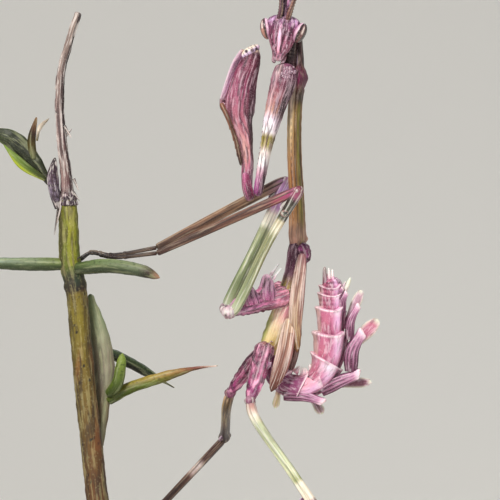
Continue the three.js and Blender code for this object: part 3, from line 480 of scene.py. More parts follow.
def ripples(points, pitch, seed, waves=7):
    """A soft irregular wave in space, about -1 to 1, of roughly that pitch in mm."""
    rng = np.random.default_rng(seed)
    ways = rng.normal(size=(waves, 3))
    ways /= np.linalg.norm(ways, axis=1)[:, None]
    ways *= 2 * np.pi / (pitch * rng.uniform(0.7, 1.6, (waves, 1)))
    return np.sin(points @ ways.T + rng.uniform(0, 6.28, waves)).sum(1) / math.sqrt(waves)


def mottled(stops, code, amount, pitch, seed, less=0.0):
    """A paint of bands with irregular spots of another colour, smaller ones where less is more."""

    def paint(form):
        return mixed(bands(*stops)(form), code, amount * clamp(ripples(form.points, pitch, seed) - less))

    return paint


def roughened(form, amount, pitch, seed):
    """A form with its points moved out and in by a soft irregular wave."""
    form.points = form.points + (amount * ripples(form.points, pitch, seed))[:, None] * form.out
    return form


# ---------------------------------------------------------------- pieces
def piece(name, forms, material, slot, *nodes, midplane=True):
    """One object from forms, which stands for CAD nodes and rides on the one body."""
    points, faces, flow, tint, start = [], [], [], [], 0
    for form in forms:
        points.append(form.points)
        flow.append(form.flow)
        tint.append(form.tint)
        faces += [tuple(i + start for i in face) for face in form.faces]
        start += len(form.points)
    points = np.vstack(points) + ((0, MIDPLANE_Y, 0) if midplane else (0, 0, 0))
    mesh = bpy.data.meshes.new(name)
    mesh.from_pydata((points * MM).tolist(), [], faces)
    mesh.shade_smooth()
    mesh.attributes.new("flow", "FLOAT_VECTOR", "POINT").data.foreach_set("vector", np.vstack(flow).ravel())
    colour = np.column_stack([deepened(np.vstack(tint)), np.ones(start)])
    mesh.attributes.new("tint", "FLOAT_COLOR", "POINT").data.foreach_set("color", colour.ravel())
    mesh.materials.append(material)
    obj = bpy.data.objects.new(name, mesh)
    bpy.context.scene.collection.objects.link(obj)
    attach(obj, "root")
    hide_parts(*nodes)


# ---------------------------------------------------------------- materials
def node(tree, kind, **inputs):
    """A new node. Keywords are names of inputs, with _ for a space, or else of its own settings."""
    made = tree.nodes.new(kind)
    for key, value in inputs.items():
        label = key.replace("_", " ")
        if label in made.inputs:
            made.inputs[label].default_value = value
        else:
            setattr(made, key, value)
    return made


def threshold(tree, value, low, high):
    """0 below low and 1 above high."""
    made = node(tree, "ShaderNodeMapRange", interpolation_type="SMOOTHSTEP", From_Min=low, From_Max=high)
    tree.links.new(value, made.inputs["Value"])
    return made.outputs["Result"]


def scaled(tree, value, factor):
    """A value times a factor."""
    made = node(tree, "ShaderNodeMath", operation="MULTIPLY")
    tree.links.new(value, made.inputs[0])
    made.inputs[1].default_value = factor
    return made.outputs[0]


def noise(tree, where, scale, detail=4.0, rough=0.55):
    """Soft noise over the places where."""
    made = node(tree, "ShaderNodeTexNoise", Scale=scale, Detail=detail, Roughness=rough)
    tree.links.new(where, made.inputs["Vector"])
    return made.outputs["Fac"]


def stretched(tree, where, factor, offset=(0, 0, 0)):
    """Places scaled by factor and moved by offset."""
    made = node(tree, "ShaderNodeMapping", Scale=factor, Location=offset)
    tree.links.new(where, made.inputs["Vector"])
    return made.outputs["Vector"]


# The mix node has sockets of the same names for each kind of data, so those for colours go by number.
MIX_WEIGHT, MIX_BASE, MIX_OTHER, MIX_RESULT = 0, 6, 7, 2


def blend(tree, base, code, weight):
    """A colour moved towards a hex colour by weight."""
    made = node(tree, "ShaderNodeMix", data_type="RGBA")
    made.inputs[MIX_OTHER].default_value = opaque(code)
    tree.links.new(base, made.inputs[MIX_BASE])
    tree.links.new(weight, made.inputs[MIX_WEIGHT])
    return made.outputs[MIX_RESULT]


def opaque(code):
    """A hex colour as a node's four numbers."""
    return (*rgb(code), 1)


def blank(name):
    """A new material with its node tree and its shader."""
    material = bpy.data.materials.new(name)
    material.use_nodes = True
    return material, material.node_tree, material.node_tree.nodes["Principled BSDF"]


def set_numbers(shader, **numbers):
    """Numbers that are the same all over, on the shader's own sockets."""
    for key, number in numbers.items():
        shader.inputs[key.replace("_", " ")].default_value = number


def link_roughness(tree, shader, value, low, high):
    """Roughness from low to high where value goes from 0 to 1."""
    span = node(tree, "ShaderNodeMapRange", To_Min=low, To_Max=high)
    tree.links.new(value, span.inputs["Value"])
    tree.links.new(span.outputs["Result"], shader.inputs["Roughness"])


def link_bump(tree, shader, height, strength, depth):
    """A surface raised by height, with a depth in mm."""
    relief = node(tree, "ShaderNodeBump", Strength=strength, Distance=depth * MM)
    tree.links.new(height, relief.inputs["Height"])
    tree.links.new(relief.outputs["Normal"], shader.inputs["Normal"])


def cuticle(name, dark, light, dark_amount, light_amount, pitch, along, grains=7.0, grain_amount=0.25,
            bump=0.5, gloss=0.42, glow=0.12, coat=0.0):
    """Skin painted by the tint attribute, with dark and pale streaks that run along the flow attribute, fine
    grains, and the relief of both."""
    material, tree, shader = blank(name)
    tint = node(tree, "ShaderNodeAttribute", attribute_name="tint").outputs["Color"]
    flow = node(tree, "ShaderNodeAttribute", attribute_name="flow").outputs["Vector"]
    drawn_out = (1, 1, along)
    streak = noise(tree, stretched(tree, flow, drawn_out), pitch, detail=5.0, rough=0.6)
    pale = noise(tree, stretched(tree, flow, drawn_out, (7.3, 2.1, 4.4)), 1.3 * pitch, detail=4.0, rough=0.6)
    blotch = noise(tree, flow, 0.9, detail=3.0)
    cells = node(tree, "ShaderNodeTexVoronoi", Scale=grains)
    tree.links.new(flow, cells.inputs["Vector"])
    grain = threshold(tree, cells.outputs["Distance"], 0.42, 0.12)
    colour = tint
    for code, mask, amount in (
        (dark, threshold(tree, streak, 0.48, 0.6), dark_amount),
        (light, threshold(tree, pale, 0.5, 0.62), light_amount),
        (light, grain, grain_amount),
        (dark, threshold(tree, blotch, 0.52, 0.75), 0.35 * dark_amount),
    ):
        colour = blend(tree, colour, code, scaled(tree, mask, amount))
    tree.links.new(colour, shader.inputs["Base Color"])
    link_roughness(tree, shader, streak, gloss - 0.1, gloss + 0.16)
    height = node(tree, "ShaderNodeMath", operation="MULTIPLY_ADD")
    tree.links.new(grain, height.inputs[0])
    height.inputs[1].default_value = 0.35
    tree.links.new(streak, height.inputs[2])
    link_bump(tree, shader, height.outputs[0], bump, 0.12)
    set_numbers(shader, Subsurface_Weight=glow, Subsurface_Radius=(1.0, 0.45, 0.4),
                Subsurface_Scale=0.35 * MM, Coat_Weight=coat, Coat_Roughness=0.12)
    return material


PINK = cuticle("pink_skin", dark="3c1028", light="f0d0dc", dark_amount=0.78, light_amount=0.32, pitch=3.4,
               along=0.1)
HEAD_SKIN = cuticle("head_skin", dark="380e26", light="eccadc", dark_amount=0.88, light_amount=0.42,
                    pitch=3.0, along=0.28, grains=5, bump=0.6)
PRONOTUM = cuticle("pronotum_skin", dark="34181c", light="dcc4b4", dark_amount=0.55, light_amount=0.2,
                   pitch=3.2, along=0.05, grain_amount=0.04, bump=0.4)
CREAM = cuticle("cream_skin", dark="8c7448", light="fbf2dc", dark_amount=0.3, light_amount=0.55, pitch=2.6,
                along=0.08, grain_amount=0.1, bump=0.45)
PAD_SKIN = cuticle("wing_pad_skin", dark="6c4438", light="fcf0e6", dark_amount=0.55, light_amount=0.45,
                   pitch=3.8, along=0.04, grain_amount=0.0, bump=0.7)
SAGE = cuticle("sage_skin", dark="5c6448", light="ecece0", dark_amount=0.45, light_amount=0.5, pitch=3.0,
               along=0.05, grain_amount=0.08, bump=0.35)
BROWN = cuticle("brown_skin", dark="2a1814", light="d4bca0", dark_amount=0.75, light_amount=0.3, pitch=3.2,
                along=0.05, grain_amount=0.08, bump=0.4)
ABDOMEN_SKIN = cuticle("abdomen_skin", dark="5c1c40", light="fbe4f0", dark_amount=0.42, light_amount=0.34,
                       pitch=2.4, along=0.2, grains=5.0, grain_amount=0.1, bump=0.5)
EYE_SKIN = cuticle("eye_skin", dark="3c1828", light="f4dcc4", dark_amount=0.2, light_amount=0.15, pitch=5,
                   along=1, grains=16, grain_amount=0.04, bump=0.12, gloss=0.34, glow=0.03, coat=0.3)
BARK = cuticle("bark", dark="33251a", light="c4ba82", dark_amount=0.65, light_amount=0.26, pitch=1.9,
               along=0.14, grains=2.6, grain_amount=0.12, bump=0.8, gloss=0.62, glow=0.04)
DRY_BARK = cuticle("dry_bark", dark="38262a", light="e6dcd6", dark_amount=0.75, light_amount=0.6, pitch=3.4,
                   along=0.07, grains=4, grain_amount=0.15, bump=1.0, gloss=0.66, glow=0.02)
GREEN = cuticle("green_shoot", dark="34401c", light="ccd2a0", dark_amount=0.35, light_amount=0.22, pitch=2.0,
                along=0.1, grains=5, grain_amount=0.06, bump=0.4, gloss=0.5, glow=0.1)


# ---------------------------------------------------------------- head
def turned(degrees, axis):
    """A turn about an axis, with the right-hand rule."""
    return Matrix.Rotation(math.radians(degrees), 3, axis)


head_turn = turned(HEAD_TILT, "Y") @ turned(HEAD_TURN, "Z")
HEAD_SIDE = tuple(head_turn @ Vector((1, 0, 0)))


def in_head(x, y, z):
    """A point of the head's own frame: x towards its left, -y out of the face, z up the crown."""
    return tuple(head_turn @ Vector((x, y, z)) + Vector(HEAD_CENTRE))


def head_shape(u, a):
    """The ridges and hollows of the face and of the back of the head."""
    face = 0.10 * near(a, 270, 26) * near(u, 0.45, 0.45)
    cheek = 0.07 * twins(a, 222, 9) * near(u, 0.42, 0.3)
    hollow = -0.07 * twins(a, 243, 12) * near(u, 0.6, 0.3)
    vertex = 0.10 * twins(a, 200, 25) * near(u, 0.8, 0.14)
    return 1 + face + cheek + hollow + vertex


def head_paint(f):
    """Bands from chin to vertex, with dark and pale lines down the face and painted shade over the back."""
    a = f.angle
    return layered(
        bands((0, "845460"), (0.15, "a46c80"), (0.4, "9c5474"), (0.62, "8c4a6c"), (0.8, "9c6890"),
              (1, "70406a"))(f),
        ("4c1834", 0.85 * (near(a, 254, 5) + near(a, 284, 5)) * near(f.u, 0.45, 0.35)),
        ("5c2444", 0.7 * (near(a, 232, 5) + near(a, 307, 5)) * near(f.u, 0.45, 0.3)),
        ("dca4bc", 0.6 * (near(a, 243, 4) + near(a, 296, 4)) * near(f.u, 0.4, 0.3)),
        # The pale lilac patches high on the face are painted highlights.
        ("e4c4e4", 0.85 * (near(a, 224, 15) + near(a, 318, 14)) * near(f.u, 0.86, 0.09)),
        ("40183a", 0.85 * (near(a, 248, 8) + near(a, 294, 9)) * near(f.u, 0.9, 0.1)),
        # Painted shade where the head faces away from the light.
        ("30101e", 0.85 * clamp(facing(f, (0.6, 1, 0)))),
        ("e4b8c8", 0.6 * twins(a, 214, 5) * near(f.u, 0.35, 0.3)),
    )


def head_form():
    """The head, broadest between the eyes, with the ridges and hollows of its face."""
    keys = [(0, 0.38, 0.4), (0.07, 0.56, 0.58), (0.22, 1.02, 0.83), (0.42, 1.44, 0.97), (0.6, 1.74, 1.04),
            (0.76, 1.88, 1.04), (0.88, 1.68, 0.97), (0.96, 1.2, 0.84), (1, 0.8, 0.7)]
    path = [in_head(0, -0.1, CHIN), in_head(0, -0.05, 0), in_head(0, 0.05, VERTEX)]
    form = loft(path, keys, side=HEAD_SIDE, sides=96, rings=90, shape=head_shape, ends=(0.35, 0.3))
    return roughened(form, 0.018, 0.5, 3).painted(head_paint)


def face_ridge():
    """The pale ridge down the middle of the face."""
    keys = [(0, 0.07, 0.1), (0.2, 0.17, 0.2), (0.55, 0.22, 0.24), (0.85, 0.17, 0.2), (1, 0.09, 0.1)]
    path = [in_head(0, -0.98, 1.42), in_head(0, -1.18, 0.2), in_head(0, -0.72, -2.2)]
    form = loft(path, keys, side=HEAD_SIDE, sides=24, rings=40, ends=(0.3, 0.2))
    return form.painted(bands((0, "f0c0d8"), (0.3, "ffd8ea"), (0.8, "f8c4d8"), (1, "c88898")))


def mouthparts():
    """The palps, the jaws and the lip."""
    forms = []
    for s in SIDES.values():
        palp = loft(
            [in_head(s * 0.45, 0.1, -1.9), in_head(s * 0.62, -0.15, -2.55), in_head(s * 0.34, -0.35, -3.05)],
            [(0, 0.2), (0.3, 0.24), (0.5, 0.17), (0.75, 0.22), (1, 0.1)],
            side=HEAD_SIDE, sides=16, rings=30, ends=(0, 0.15),
        )
        forms.append(palp.painted(bands((0, "6a3c4c"), (0.5, "b8949c"), (1, "6a4c4c"))))
        jaw = loft(
            [in_head(s * 0.55, -0.35, -1.7), in_head(s * 0.35, -0.6, -2.45), in_head(s * 0.08, -0.5, -2.8)],
            [(0, 0.3, 0.22), (0.5, 0.24, 0.2), (1, 0.08, 0.1)],
            side=HEAD_SIDE, sides=16, rings=24, ends=(0, 0.15),
        )
        forms.append(jaw.painted(bands((0, "885868"), (0.7, "b08894"), (1, "3a1a1c"))))
    lip = leaf(in_head(0, -0.62, -1.95), in_head(0, -0.62, -2.85), 0.34, HEAD_SIDE, waist=0.45, thick=0.16)
    forms.append(lip.painted(bands((0, "b4849c"), (0.6, "c49ca8"), (1, "7a4848"))))
    return forms


def antenna_sockets():
    """The rings that the antennae stand in, and the three simple eyes between them."""
    forms = []
    for s in SIDES.values():
        ring = orb(in_head(s * 0.52, -0.82, 1.62), (0.3, 0.2, 0.3), head_turn, 24, 16)
        forms.append(ring.painted(bands((0, "c890a8"), (1, "7a3c5c"))))
    for x, z in ((-0.26, 1.98), (0.26, 1.98), (0, 1.7)):
        dot = orb(in_head(x, -0.84, z), (0.15, 0.13, 0.17), head_turn, 16, 12)
        forms.append(dot.painted(bands((0, "c88c94"), (1, "8a4c5c"))))
    return forms


piece("head_skin", [head_form(), face_ridge(), *mouthparts(), *antenna_sockets()], HEAD_SKIN, "head", "head")


def eye_form(s):
    """A compound eye with bands from its front to its outer edge."""
    lean = turned(s * EYE_LEAN, "Y")
    form = orb(in_head(s * EYE_OUT, 0, EYE_UP), EYE_HALF, head_turn @ lean, 96, 64)

    def paint(f):
        # u runs from the eye's upper end to its lower one, a from the middle of its front to its outer edge.
        a = (s * (f.angle - 270) + 180) % 360 - 180
        dark_at, pale_at = (10, 40) if s == RIGHT else (-4, 24)
        upper = clamp((0.56 - f.u) / 0.1)
        return layered(
            bands((0, "6c4454"), (0.3, "946878"), (0.6, "8c6464"), (0.85, "845c5c"), (1, "946478"))(f),
            # The near-white band on the upper part is a painted highlight.
            ("fff4ea", 0.97 * near(a, pale_at, 9) * upper * clamp(f.u / 0.12 - 0.6)),
            ("d4a898", 0.8 * near(a, pale_at + 4, 20) * (1 - upper) * (s == LEFT)),
            ("d4b0c8", 0.9 * clamp((dark_at - 8 - a) / 6)),
            ("fce0ec", 0.9 * near(a, dark_at - 24, 9) * clamp((0.7 - f.u) / 0.2)),
            ("20060f", 0.99 * near(a, dark_at, 15 if s == RIGHT else 9)),
            ("2c180c", 0.97 * clamp((a - 52) / 12)),
        )

    return form.painted(paint)


piece("eye_left_globe", [eye_form(RIGHT)], EYE_SKIN, "eye", "eye_left")
piece("eye_right_globe", [eye_form(LEFT)], EYE_SKIN, "eye", "eye_right")


def crown_shape(u, a):
    """Ribs down the front of the cone."""
    return 1 + 0.12 * near(a, 270, 10) + 0.06 * twins(a, 232, 8) - 0.08 * near(a, 250, 7)


def crown_paint(f):
    """A dark violet cone with one pale rib."""
    return layered(
        bands((0, "6c4468"), (0.25, "64406c"), (0.55, "4a2c3c"), (1, "5c3c34"))(f),
        ("dca4c8", 0.85 * near(f.angle, 280, 13)),
        ("3c1c38", 0.8 * (near(f.angle, 300, 8) + near(f.angle, 252, 9))),
        ("b08a70", 0.6 * near(f.angle, 320, 12)),
    )


def crown_forms():
    """The tall cone on the head with its forked tip."""
    keys = [(0, 0.95, 0.7), (0.1, 0.72, 0.55), (0.2, 0.6, 0.46), (0.36, 0.68, 0.42), (0.5, 0.98, 0.34),
            (0.6, 0.7, 0.34), (0.8, 0.46, 0.34), (1, 0.4, 0.3)]
    path = [in_head(0, 0.05, VERTEX - 0.7), in_head(0.05, 0.1, 5), in_head(0, 0.1, CROWN_TOP - 0.9)]
    body = loft(path, keys, side=HEAD_SIDE, sides=64, rings=90, shape=crown_shape, ends=(0, 0.4))
    forms = [roughened(body, 0.02, 0.45, 8).painted(crown_paint)]
    for s in SIDES.values():
        tip = spine(in_head(s * 0.14, 0.1, CROWN_TOP - 1.4), in_head(s * 0.42, 0.1, CROWN_TOP), 0.27)
        forms.append(tip.painted(bands((0, "4a2c34"), (1, "8a6450"))))
    return forms


piece("crown_skin", crown_forms(), HEAD_SKIN, "crown", "crown")


ANTENNA_JOINT = 0.34


def antenna_joints(u, a, s_mm):
    """The fine rings of the antenna's joints."""
    return 0.022 * np.sin(2 * np.pi * s_mm / ANTENNA_JOINT)


def antenna_form(s):
    """A thin antenna of many small joints."""
    close = 1.12 if s == RIGHT else 0.42
    path = [
        in_head(s * 0.5, -0.72, 1.8),
        in_head(s * 0.68 * close, -1.1, 2.7),
        in_head(s * 0.98 * close, -1.25, 4.2),
        in_head(s * 1.5 * close, -1.0, 7.5),
        in_head(s * 2.3, -0.6, 10.6),
    ]
    keys = [(0, 0.24), (0.1, 0.3), (0.2, 0.24), (0.5, 0.22), (0.85, 0.17), (1, 0.07)]
    form = loft(path, keys, side=HEAD_SIDE, sides=20, rings=240, relief=antenna_joints, ends=(0.1, 0.3))

    def paint(f):
        hue = ((0, "8c5c60"), (0.2, "a47c74")) if s == RIGHT else ((0, "7c4c6c"), (0.2, "805870"))
        rings = 0.5 + 0.5 * np.sin(2 * np.pi * f.flow[:, 2] / ANTENNA_JOINT)
        return layered(
            bands(*hue, (0.6, "74504a"), (1, "4a3028"))(f),
            ("5c3838", 0.3 * (1 - rings)),
            # Painted shade on the side of the antenna that faces away from the light.
            ("2c1418", 0.9 * clamp(1.6 * facing(f, (s, 0.4, 0)) - 0.5)),
        )

    return form.painted(paint)


piece("antenna_left_skin", [antenna_form(RIGHT)], BROWN, "antenna", "antenna_left")
piece("antenna_right_skin", [antenna_form(LEFT)], BROWN, "antenna", "antenna_right")


# ---------------------------------------------------------------- thorax
def pronotum_shape(u, a):
    """The margins, the groove inside each, the crest on the back and the folds below."""
    margin = 0.10 * twins(a, 8, 7)
    groove = -0.07 * (twins(a, 350, 8) + twins(a, 356, 6))
    crest = 0.09 * near(a, 90, 9)
    under = 0.05 * twins(a, 250, 8)
    return 1 + margin + groove + crest + under


def pronotum_relief(u, a, s):
    """The cross furrow behind the widening, and the humps on it and at the rear end."""
    cross = -0.10 * near(u, 0.25, 0.008) * near(a, 90, 80)
    hump = 0.22 * near(u, 0.965, 0.014) * near(a, 90, 30) + 0.16 * near(u, 0.2, 0.02) * near(a, 90, 24)
    return cross + hump


def pronotum_paint(f):
    """Straw with green flanks, dark lines along it and a purple widening."""
    a, u = f.angle, f.u
    backward = np.cos(np.radians(a - 90))  # 1 on the back and -1 on the belly
    belly = clamp(-backward * 1.6 + 0.1)
    dashes = clamp(np.sin(2 * np.pi * f.flow[:, 2] / 0.75) + 0.5)
    wings = near(u, 0.205, 0.06) * clamp(backward + 1.1)
    front = clamp((0.155 - u) / 0.02)
    return layered(
        bands((0, "6a4a44"), (0.21, "8c5a6c"), (0.27, "9c7c5c"), (0.34, "a88a58"), (0.63, "a07c4c"),
              (0.9, "9c8058"), (0.96, "b89484"), (1, "8a5060"))(f),
        ("b07c50", 0.65 * belly * near(u, 0.72, 0.22)),
        ("ecdcb8", 0.9 * belly * near(u, 0.4, 0.14)),
        ("dcc49c", 0.5 * twins(a, 232, 8) * near(u, 0.58, 0.32)),
        ("888640", 0.9 * twins(a, 142, 20)),
        ("34200f", 0.9 * twins(a, 176, 5) * near(u, 0.64, 0.34)),
        ("2c2008", 0.95 * twins(a, 116, 6) * near(u, 0.64, 0.34)),
        ("2c1810", 0.75 * dashes * twins(a, 205, 4) * near(u, 0.64, 0.3)),
        ("8c3868", wings),
        ("4c1038", 0.9 * wings * near(a, 205, 14)),
        ("4c1034", 0.6 * wings * patches(f, 0.5, 61, stretch=0.15)),
        ("3c2428", 0.85 * near(u, 0.295, 0.035) * clamp(backward + 0.9)),
        ("f4e4d8", 0.97 * near(u, 0.32, 0.09) * near(a, 222, 24)),
        ("ccac9c", 0.8 * near(u, 0.94, 0.05)),
        # The front end, under the head, is painted near black as painted shade, with a stripe and a lilac
        # line over it.
        ("38101c", 0.98 * front),
        ("8c6060", 0.5 * front * near(a, 160, 12)),
        ("c4b4c4", 0.9 * front * near(a, 232, 12)),
    )


def prothorax_forms():
    """The long pronotum, widened over the forelegs' hips, with its teeth."""
    keys = [(0, 0.4, 0.28), (0.04, 0.56, 0.34), (0.1, 0.7, 0.38), (0.15, 0.9, 0.42), (0.17, 1.05, 0.64),
            (0.19, 1.3, 0.77), (0.215, 1.46, 0.83), (0.245, 1.4, 0.81), (0.28, 1.1, 0.76),
            (0.32, 0.88, 0.75), (0.46, 0.76, 0.76), (0.68, 0.78, 0.78), (0.86, 0.92, 0.86),
            (0.945, 1.1, 0.93), (1, 0.9, 0.8)]
    form = loft(PROTHORAX_LINE, keys, sides=96, rings=300, shape=pronotum_shape, relief=pronotum_relief,
                ends=(0.3, 0.2))
    return [roughened(form, 0.012, 0.8, 11).painted(pronotum_paint), *pronotum_teeth(keys)]


def pronotum_teeth(keys):
    """The fine teeth along both sides of the pronotum, whose section follows keys."""
    forms = []
    line = smooth_line(PROTHORAX_LINE)
    for i, u in enumerate(np.linspace(0.14, 0.93, 60)):
        half = half_at(u, keys)
        for s in SIDES.values():
            root = plus(point_at(line, u), (0.14 * half[1], s * 1.02 * half[0], 0))
            reach = (0.05 if u > 0.3 else 0.12) + 0.03 * (i % 3)
            tooth = spine(root, plus(root, (0.02, s * reach, -0.05)), 0.06, sides=6, rings=5)
            forms.append(tooth.painted(bands((0, "4a2c1c"), (1, "5c3c28"))))
    return forms


piece("prothorax_skin", prothorax_forms(), PRONOTUM, "pronotum", "prothorax")


def neck_paint(f):
    """Dark red, with a few greyer spots; its near-black depth is partly painted shade."""
    return layered(
        bands((0, "380c1a"), (0.5, "400f20"), (1, "582440"))(f),
        ("5c3440", 0.4 * clamp(ripples(f.points, 0.5, 64) - 0.8)),
    )


def neck_form():
    """The soft neck, which widens down to the forelegs' hips: its dark mass stands partly for painted shade.
    """
    path = [in_head(0, 0.35, -0.3), (10.0, -0.2, 75.0), (9.85, 0, 73.3), (9.8, 0, 71.8)]
    keys = [(0, 0.74, 0.72), (0.35, 0.74, 0.76), (0.65, 0.84, 0.86), (1, 0.8, 0.85)]
    form = loft(path, keys, side=(0.3, 1, 0), sides=56, rings=70, ends=(0.2, 0.4),
                relief=lambda u, a, s: 0.035 * np.sin(2 * np.pi * s / 0.42))
    return form.painted(neck_paint)


piece("neck_skin", [neck_form()], PRONOTUM, "thorax", "neck")


def thorax_shape(u, a):
    """How the section of the two rear thorax segments is scaled."""
    return (
        1 + 0.07 * near(a, 90, 12) + 0.05 * twins(a, 200, 10)
        - 0.06 * near(np.abs(a - 180), 0, 9)
    )


def mesothorax_paint(f):
    """Purple in front and straw behind, with a green flank."""
    return layered(
        bands((0, "541840"), (0.2, "5c1c44"), (0.38, "703858"), (0.52, "906c7c"), (0.66, "ac946c"),
              (1, "d0bc98"))(f),
        ("bcb868", 0.8 * near(f.angle, 225, 40) * near(f.u, 0.82, 0.16)),
        ("a8889c", 0.6 * near(f.angle, 250, 16) * near(f.u, 0.35, 0.25)),
    )


def mesothorax_form():
    """The segment of the middle legs and the fore wing pads."""
    keys = [(0, 0.86, 0.76), (0.1, 1.05, 0.88), (0.5, 1.35, 1.03), (0.85, 1.55, 1.17), (1, 1.42, 1.08)]
    form = loft(MESOTHORAX_LINE, keys, sides=72, rings=80, shape=thorax_shape, ends=(0.3, 0.3))
    return roughened(form, 0.03, 0.9, 5).painted(mesothorax_paint)


def metathorax_paint(f):
    """Cream with a green flank."""
    return layered(
        bands((0, "d4a0ac"), (0.25, "e0bcb4"), (0.5, "e8d8bc"), (0.8, "e0d0a0"), (1, "b09c5c"))(f),
        ("aeb862", 0.9 * near(f.angle, 248, 24) * near(f.u, 0.55, 0.35)),
        ("dcdc9c", 0.6 * near(f.angle, 232, 7) * near(f.u, 0.55, 0.35)),
        ("d89cb0", 0.7 * near(f.angle, 160, 22) * near(f.u, 0.2, 0.25)),
        ("b89c50", 0.7 * near(f.angle, 168, 20) * near(f.u, 0.8, 0.18)),
    )


def metathorax_form():
    """The segment of the hind legs and the hind wing pads."""
    keys = [(0, 1.2, 0.95), (0.15, 1.52, 1.16), (0.6, 1.55, 1.22), (0.9, 1.3, 1.03), (1, 1.12, 0.92)]
    form = loft(METATHORAX_LINE, keys, sides=72, rings=80, shape=thorax_shape, ends=(0.3, 0.3))
    return roughened(form, 0.03, 0.9, 6).painted(metathorax_paint)


def shoulder_form(s):
    """The purple lobe at the root of a fore wing pad."""
    form = orb((11.45, s * 0.75, 52.0), (0.75, 0.55, 1.15), turned(-14, "Y"), 40, 28)
    form.painted(mottled([(0, "8c5080"), (0.5, "6c2450"), (1, "4c1c3c")], "b86ca0", 0.8, 0.5, 66, less=0.1))
    return roughened(form, 0.06, 0.6, 67)


piece("mesothorax_skin", [mesothorax_form(), shoulder_form(LEFT), shoulder_form(RIGHT)], PINK, "thorax",
      "mesothorax")
piece("metathorax_skin", [metathorax_form()], CREAM, "thorax", "metathorax")

# ---------------------------------------------------------------- abdomen
TAIL = len(ABDOMEN_JOINTS) - 1
SMALL_RING = 0.42  # length in mm of the steps that the last segment is drawn in by
abdomen_line = smooth_line(ABDOMEN_LINE, 800)
ABDOMEN_LENGTH = np.linalg.norm(np.diff(abdomen_line, axis=0), axis=1).sum()
abdomen_along = np.gradient(abdomen_line, axis=0)
abdomen_along /= np.linalg.norm(abdomen_along, axis=1)[:, None]


def half_depth(u):
    """The abdomen's half depth at a share of its length."""
    rows = np.array(ABDOMEN_HALF_DEPTH)
    return float(np.interp(u, rows[:, 0], rows[:, 1]))


def on_abdomen(u, right, up, rearward=0.0):
    """A point at the share u of the abdomen's line: right is its right side, up its back."""
    i = int(round(clamp(u) * (len(abdomen_line) - 1)))
    along = abdomen_along[i]
    back = np.cross(along, (0, 1, 0))
    p = abdomen_line[i] + back * up + along * rearward
    return (p[0], right, p[2])


def abdomen_path(u0, u1):
    """Seven points of the abdomen's line from one share to another."""
    i0, i1 = (int(round(clamp(u) * (len(abdomen_line) - 1))) for u in (u0, u1))
    return abdomen_line[np.linspace(i0, i1, 7).astype(int)]


def segment_shape(k):
    """How the section of segment k is scaled."""

    def shape(u, a):
        late = clamp((u - 0.15) / 0.8)
        turn = from_crest(a)
        crest = 0.04 * near(turn, 0, 9) + 0.1 * late**5 * near(turn, 20, 30)
        # Where the abdomen bends up, its back is pressed in.
        crest = crest - CREST_DIP.get(k, 0) * near(turn, 0, 65) * (1 - late**3 * (k == 3))
        flange = (0.01 + 0.05 * late**3) * near(turn, 128, 12)
        groove = -0.12 * near(turn, 150, 9)
        fold = -0.03 * near(turn, 82, 10)
        return 1 + crest + flange + groove + fold

    return shape


def rear_rim(k):
    """How far the rear edge of segment k moves along its line."""

    def slide(u, a):
        rim = clamp((u - 0.7) / 0.25)
        turn = from_crest(a)
        if k in RIM_TILT:
            return rim * (0.15 * near(turn, 0, 30) + RIM_TILT[k] * np.cos(np.radians(turn)))
        return rim * (0.42 * near(turn, 10, 42) + 0.5 * near(turn, 138, 18) - 0.14)

    return slide


def segment_paint(k):
    """The paint of segment k."""

    def paint(f):
        turn, u = from_crest(f.angle), f.u
        tint = layered(
            bands((0, "a05478"), (0.3, "c07894"), (0.8, "cc86a2"), (1, "d494b0"))(f),
            ("8c4878", 0.8 * (k <= 1) * np.ones(len(u))),
            ("f0bcc8", 0.8 * (k == 2) * near(turn, 75, 55)),
            # Paler along the crest, the side that faces the light: painted light.
            ("d8c0bc", (0.9 if k > 3 else 0.3) * clamp((48 - turn) / 14)),
            ("dca8b0", 0.4 * near(turn, 62, 14) * near(u, 0.5, 0.32) * (k > 2)),
            ("8c4468", 0.5 * (0.5 - 0.5 * np.cos(2 * np.pi * f.flow[:, 2] / 0.5)) * (k > 5)),
            # The near-white patches low on the sides are painted highlights.
            ("f4d2ee", 0.9 * near(turn, 116, 18) * near(u, 0.66, 0.36) * (k > 1)),
            ("fcecf6", 0.8 * near(turn, 112, 14) * near(u, 0.88, 0.1) * (k > 1)),
            ("fdeefa", 0.95 * near(turn, 98, 26) * near(u, 0.82, 0.17) * (k == 3)),
            # The dark line in the side groove is painted shade.
            ("5c1c48", 0.9 * near(turn, 150, 9)),
            ("9c5884", 0.7 * near(turn, 180, 20)),
        )
        if k == TAIL:
            # Painted shade at the start of each small ring, under the edge of the one before it.
            return mixed(tint, "5c2044",
                         0.9 * (1 - f.flow[:, 2] / SMALL_RING % 1) * near(turn, 30, 80) * (u < 0.75))
        tint = mixed(tint, "fae8ec", (0.5 if k == 2 else 0.9) * near(u, 0.955, 0.035))
        # Painted shadow at the start of each segment, under the rim of the segment before it.
        return mixed(tint, "3c1024", 0.9 * near(u, 0.17, 0.075) * near(turn, 40, 70) * (k > 0))

    return paint


def small_rings(u, a, s):
    """The fine steps by which the last segment is drawn in, as its own small rings lie inside each other."""
    return 0.07 * ((s / SMALL_RING) % 1) * near(from_crest(a), 20, 80) * (u < 0.62)


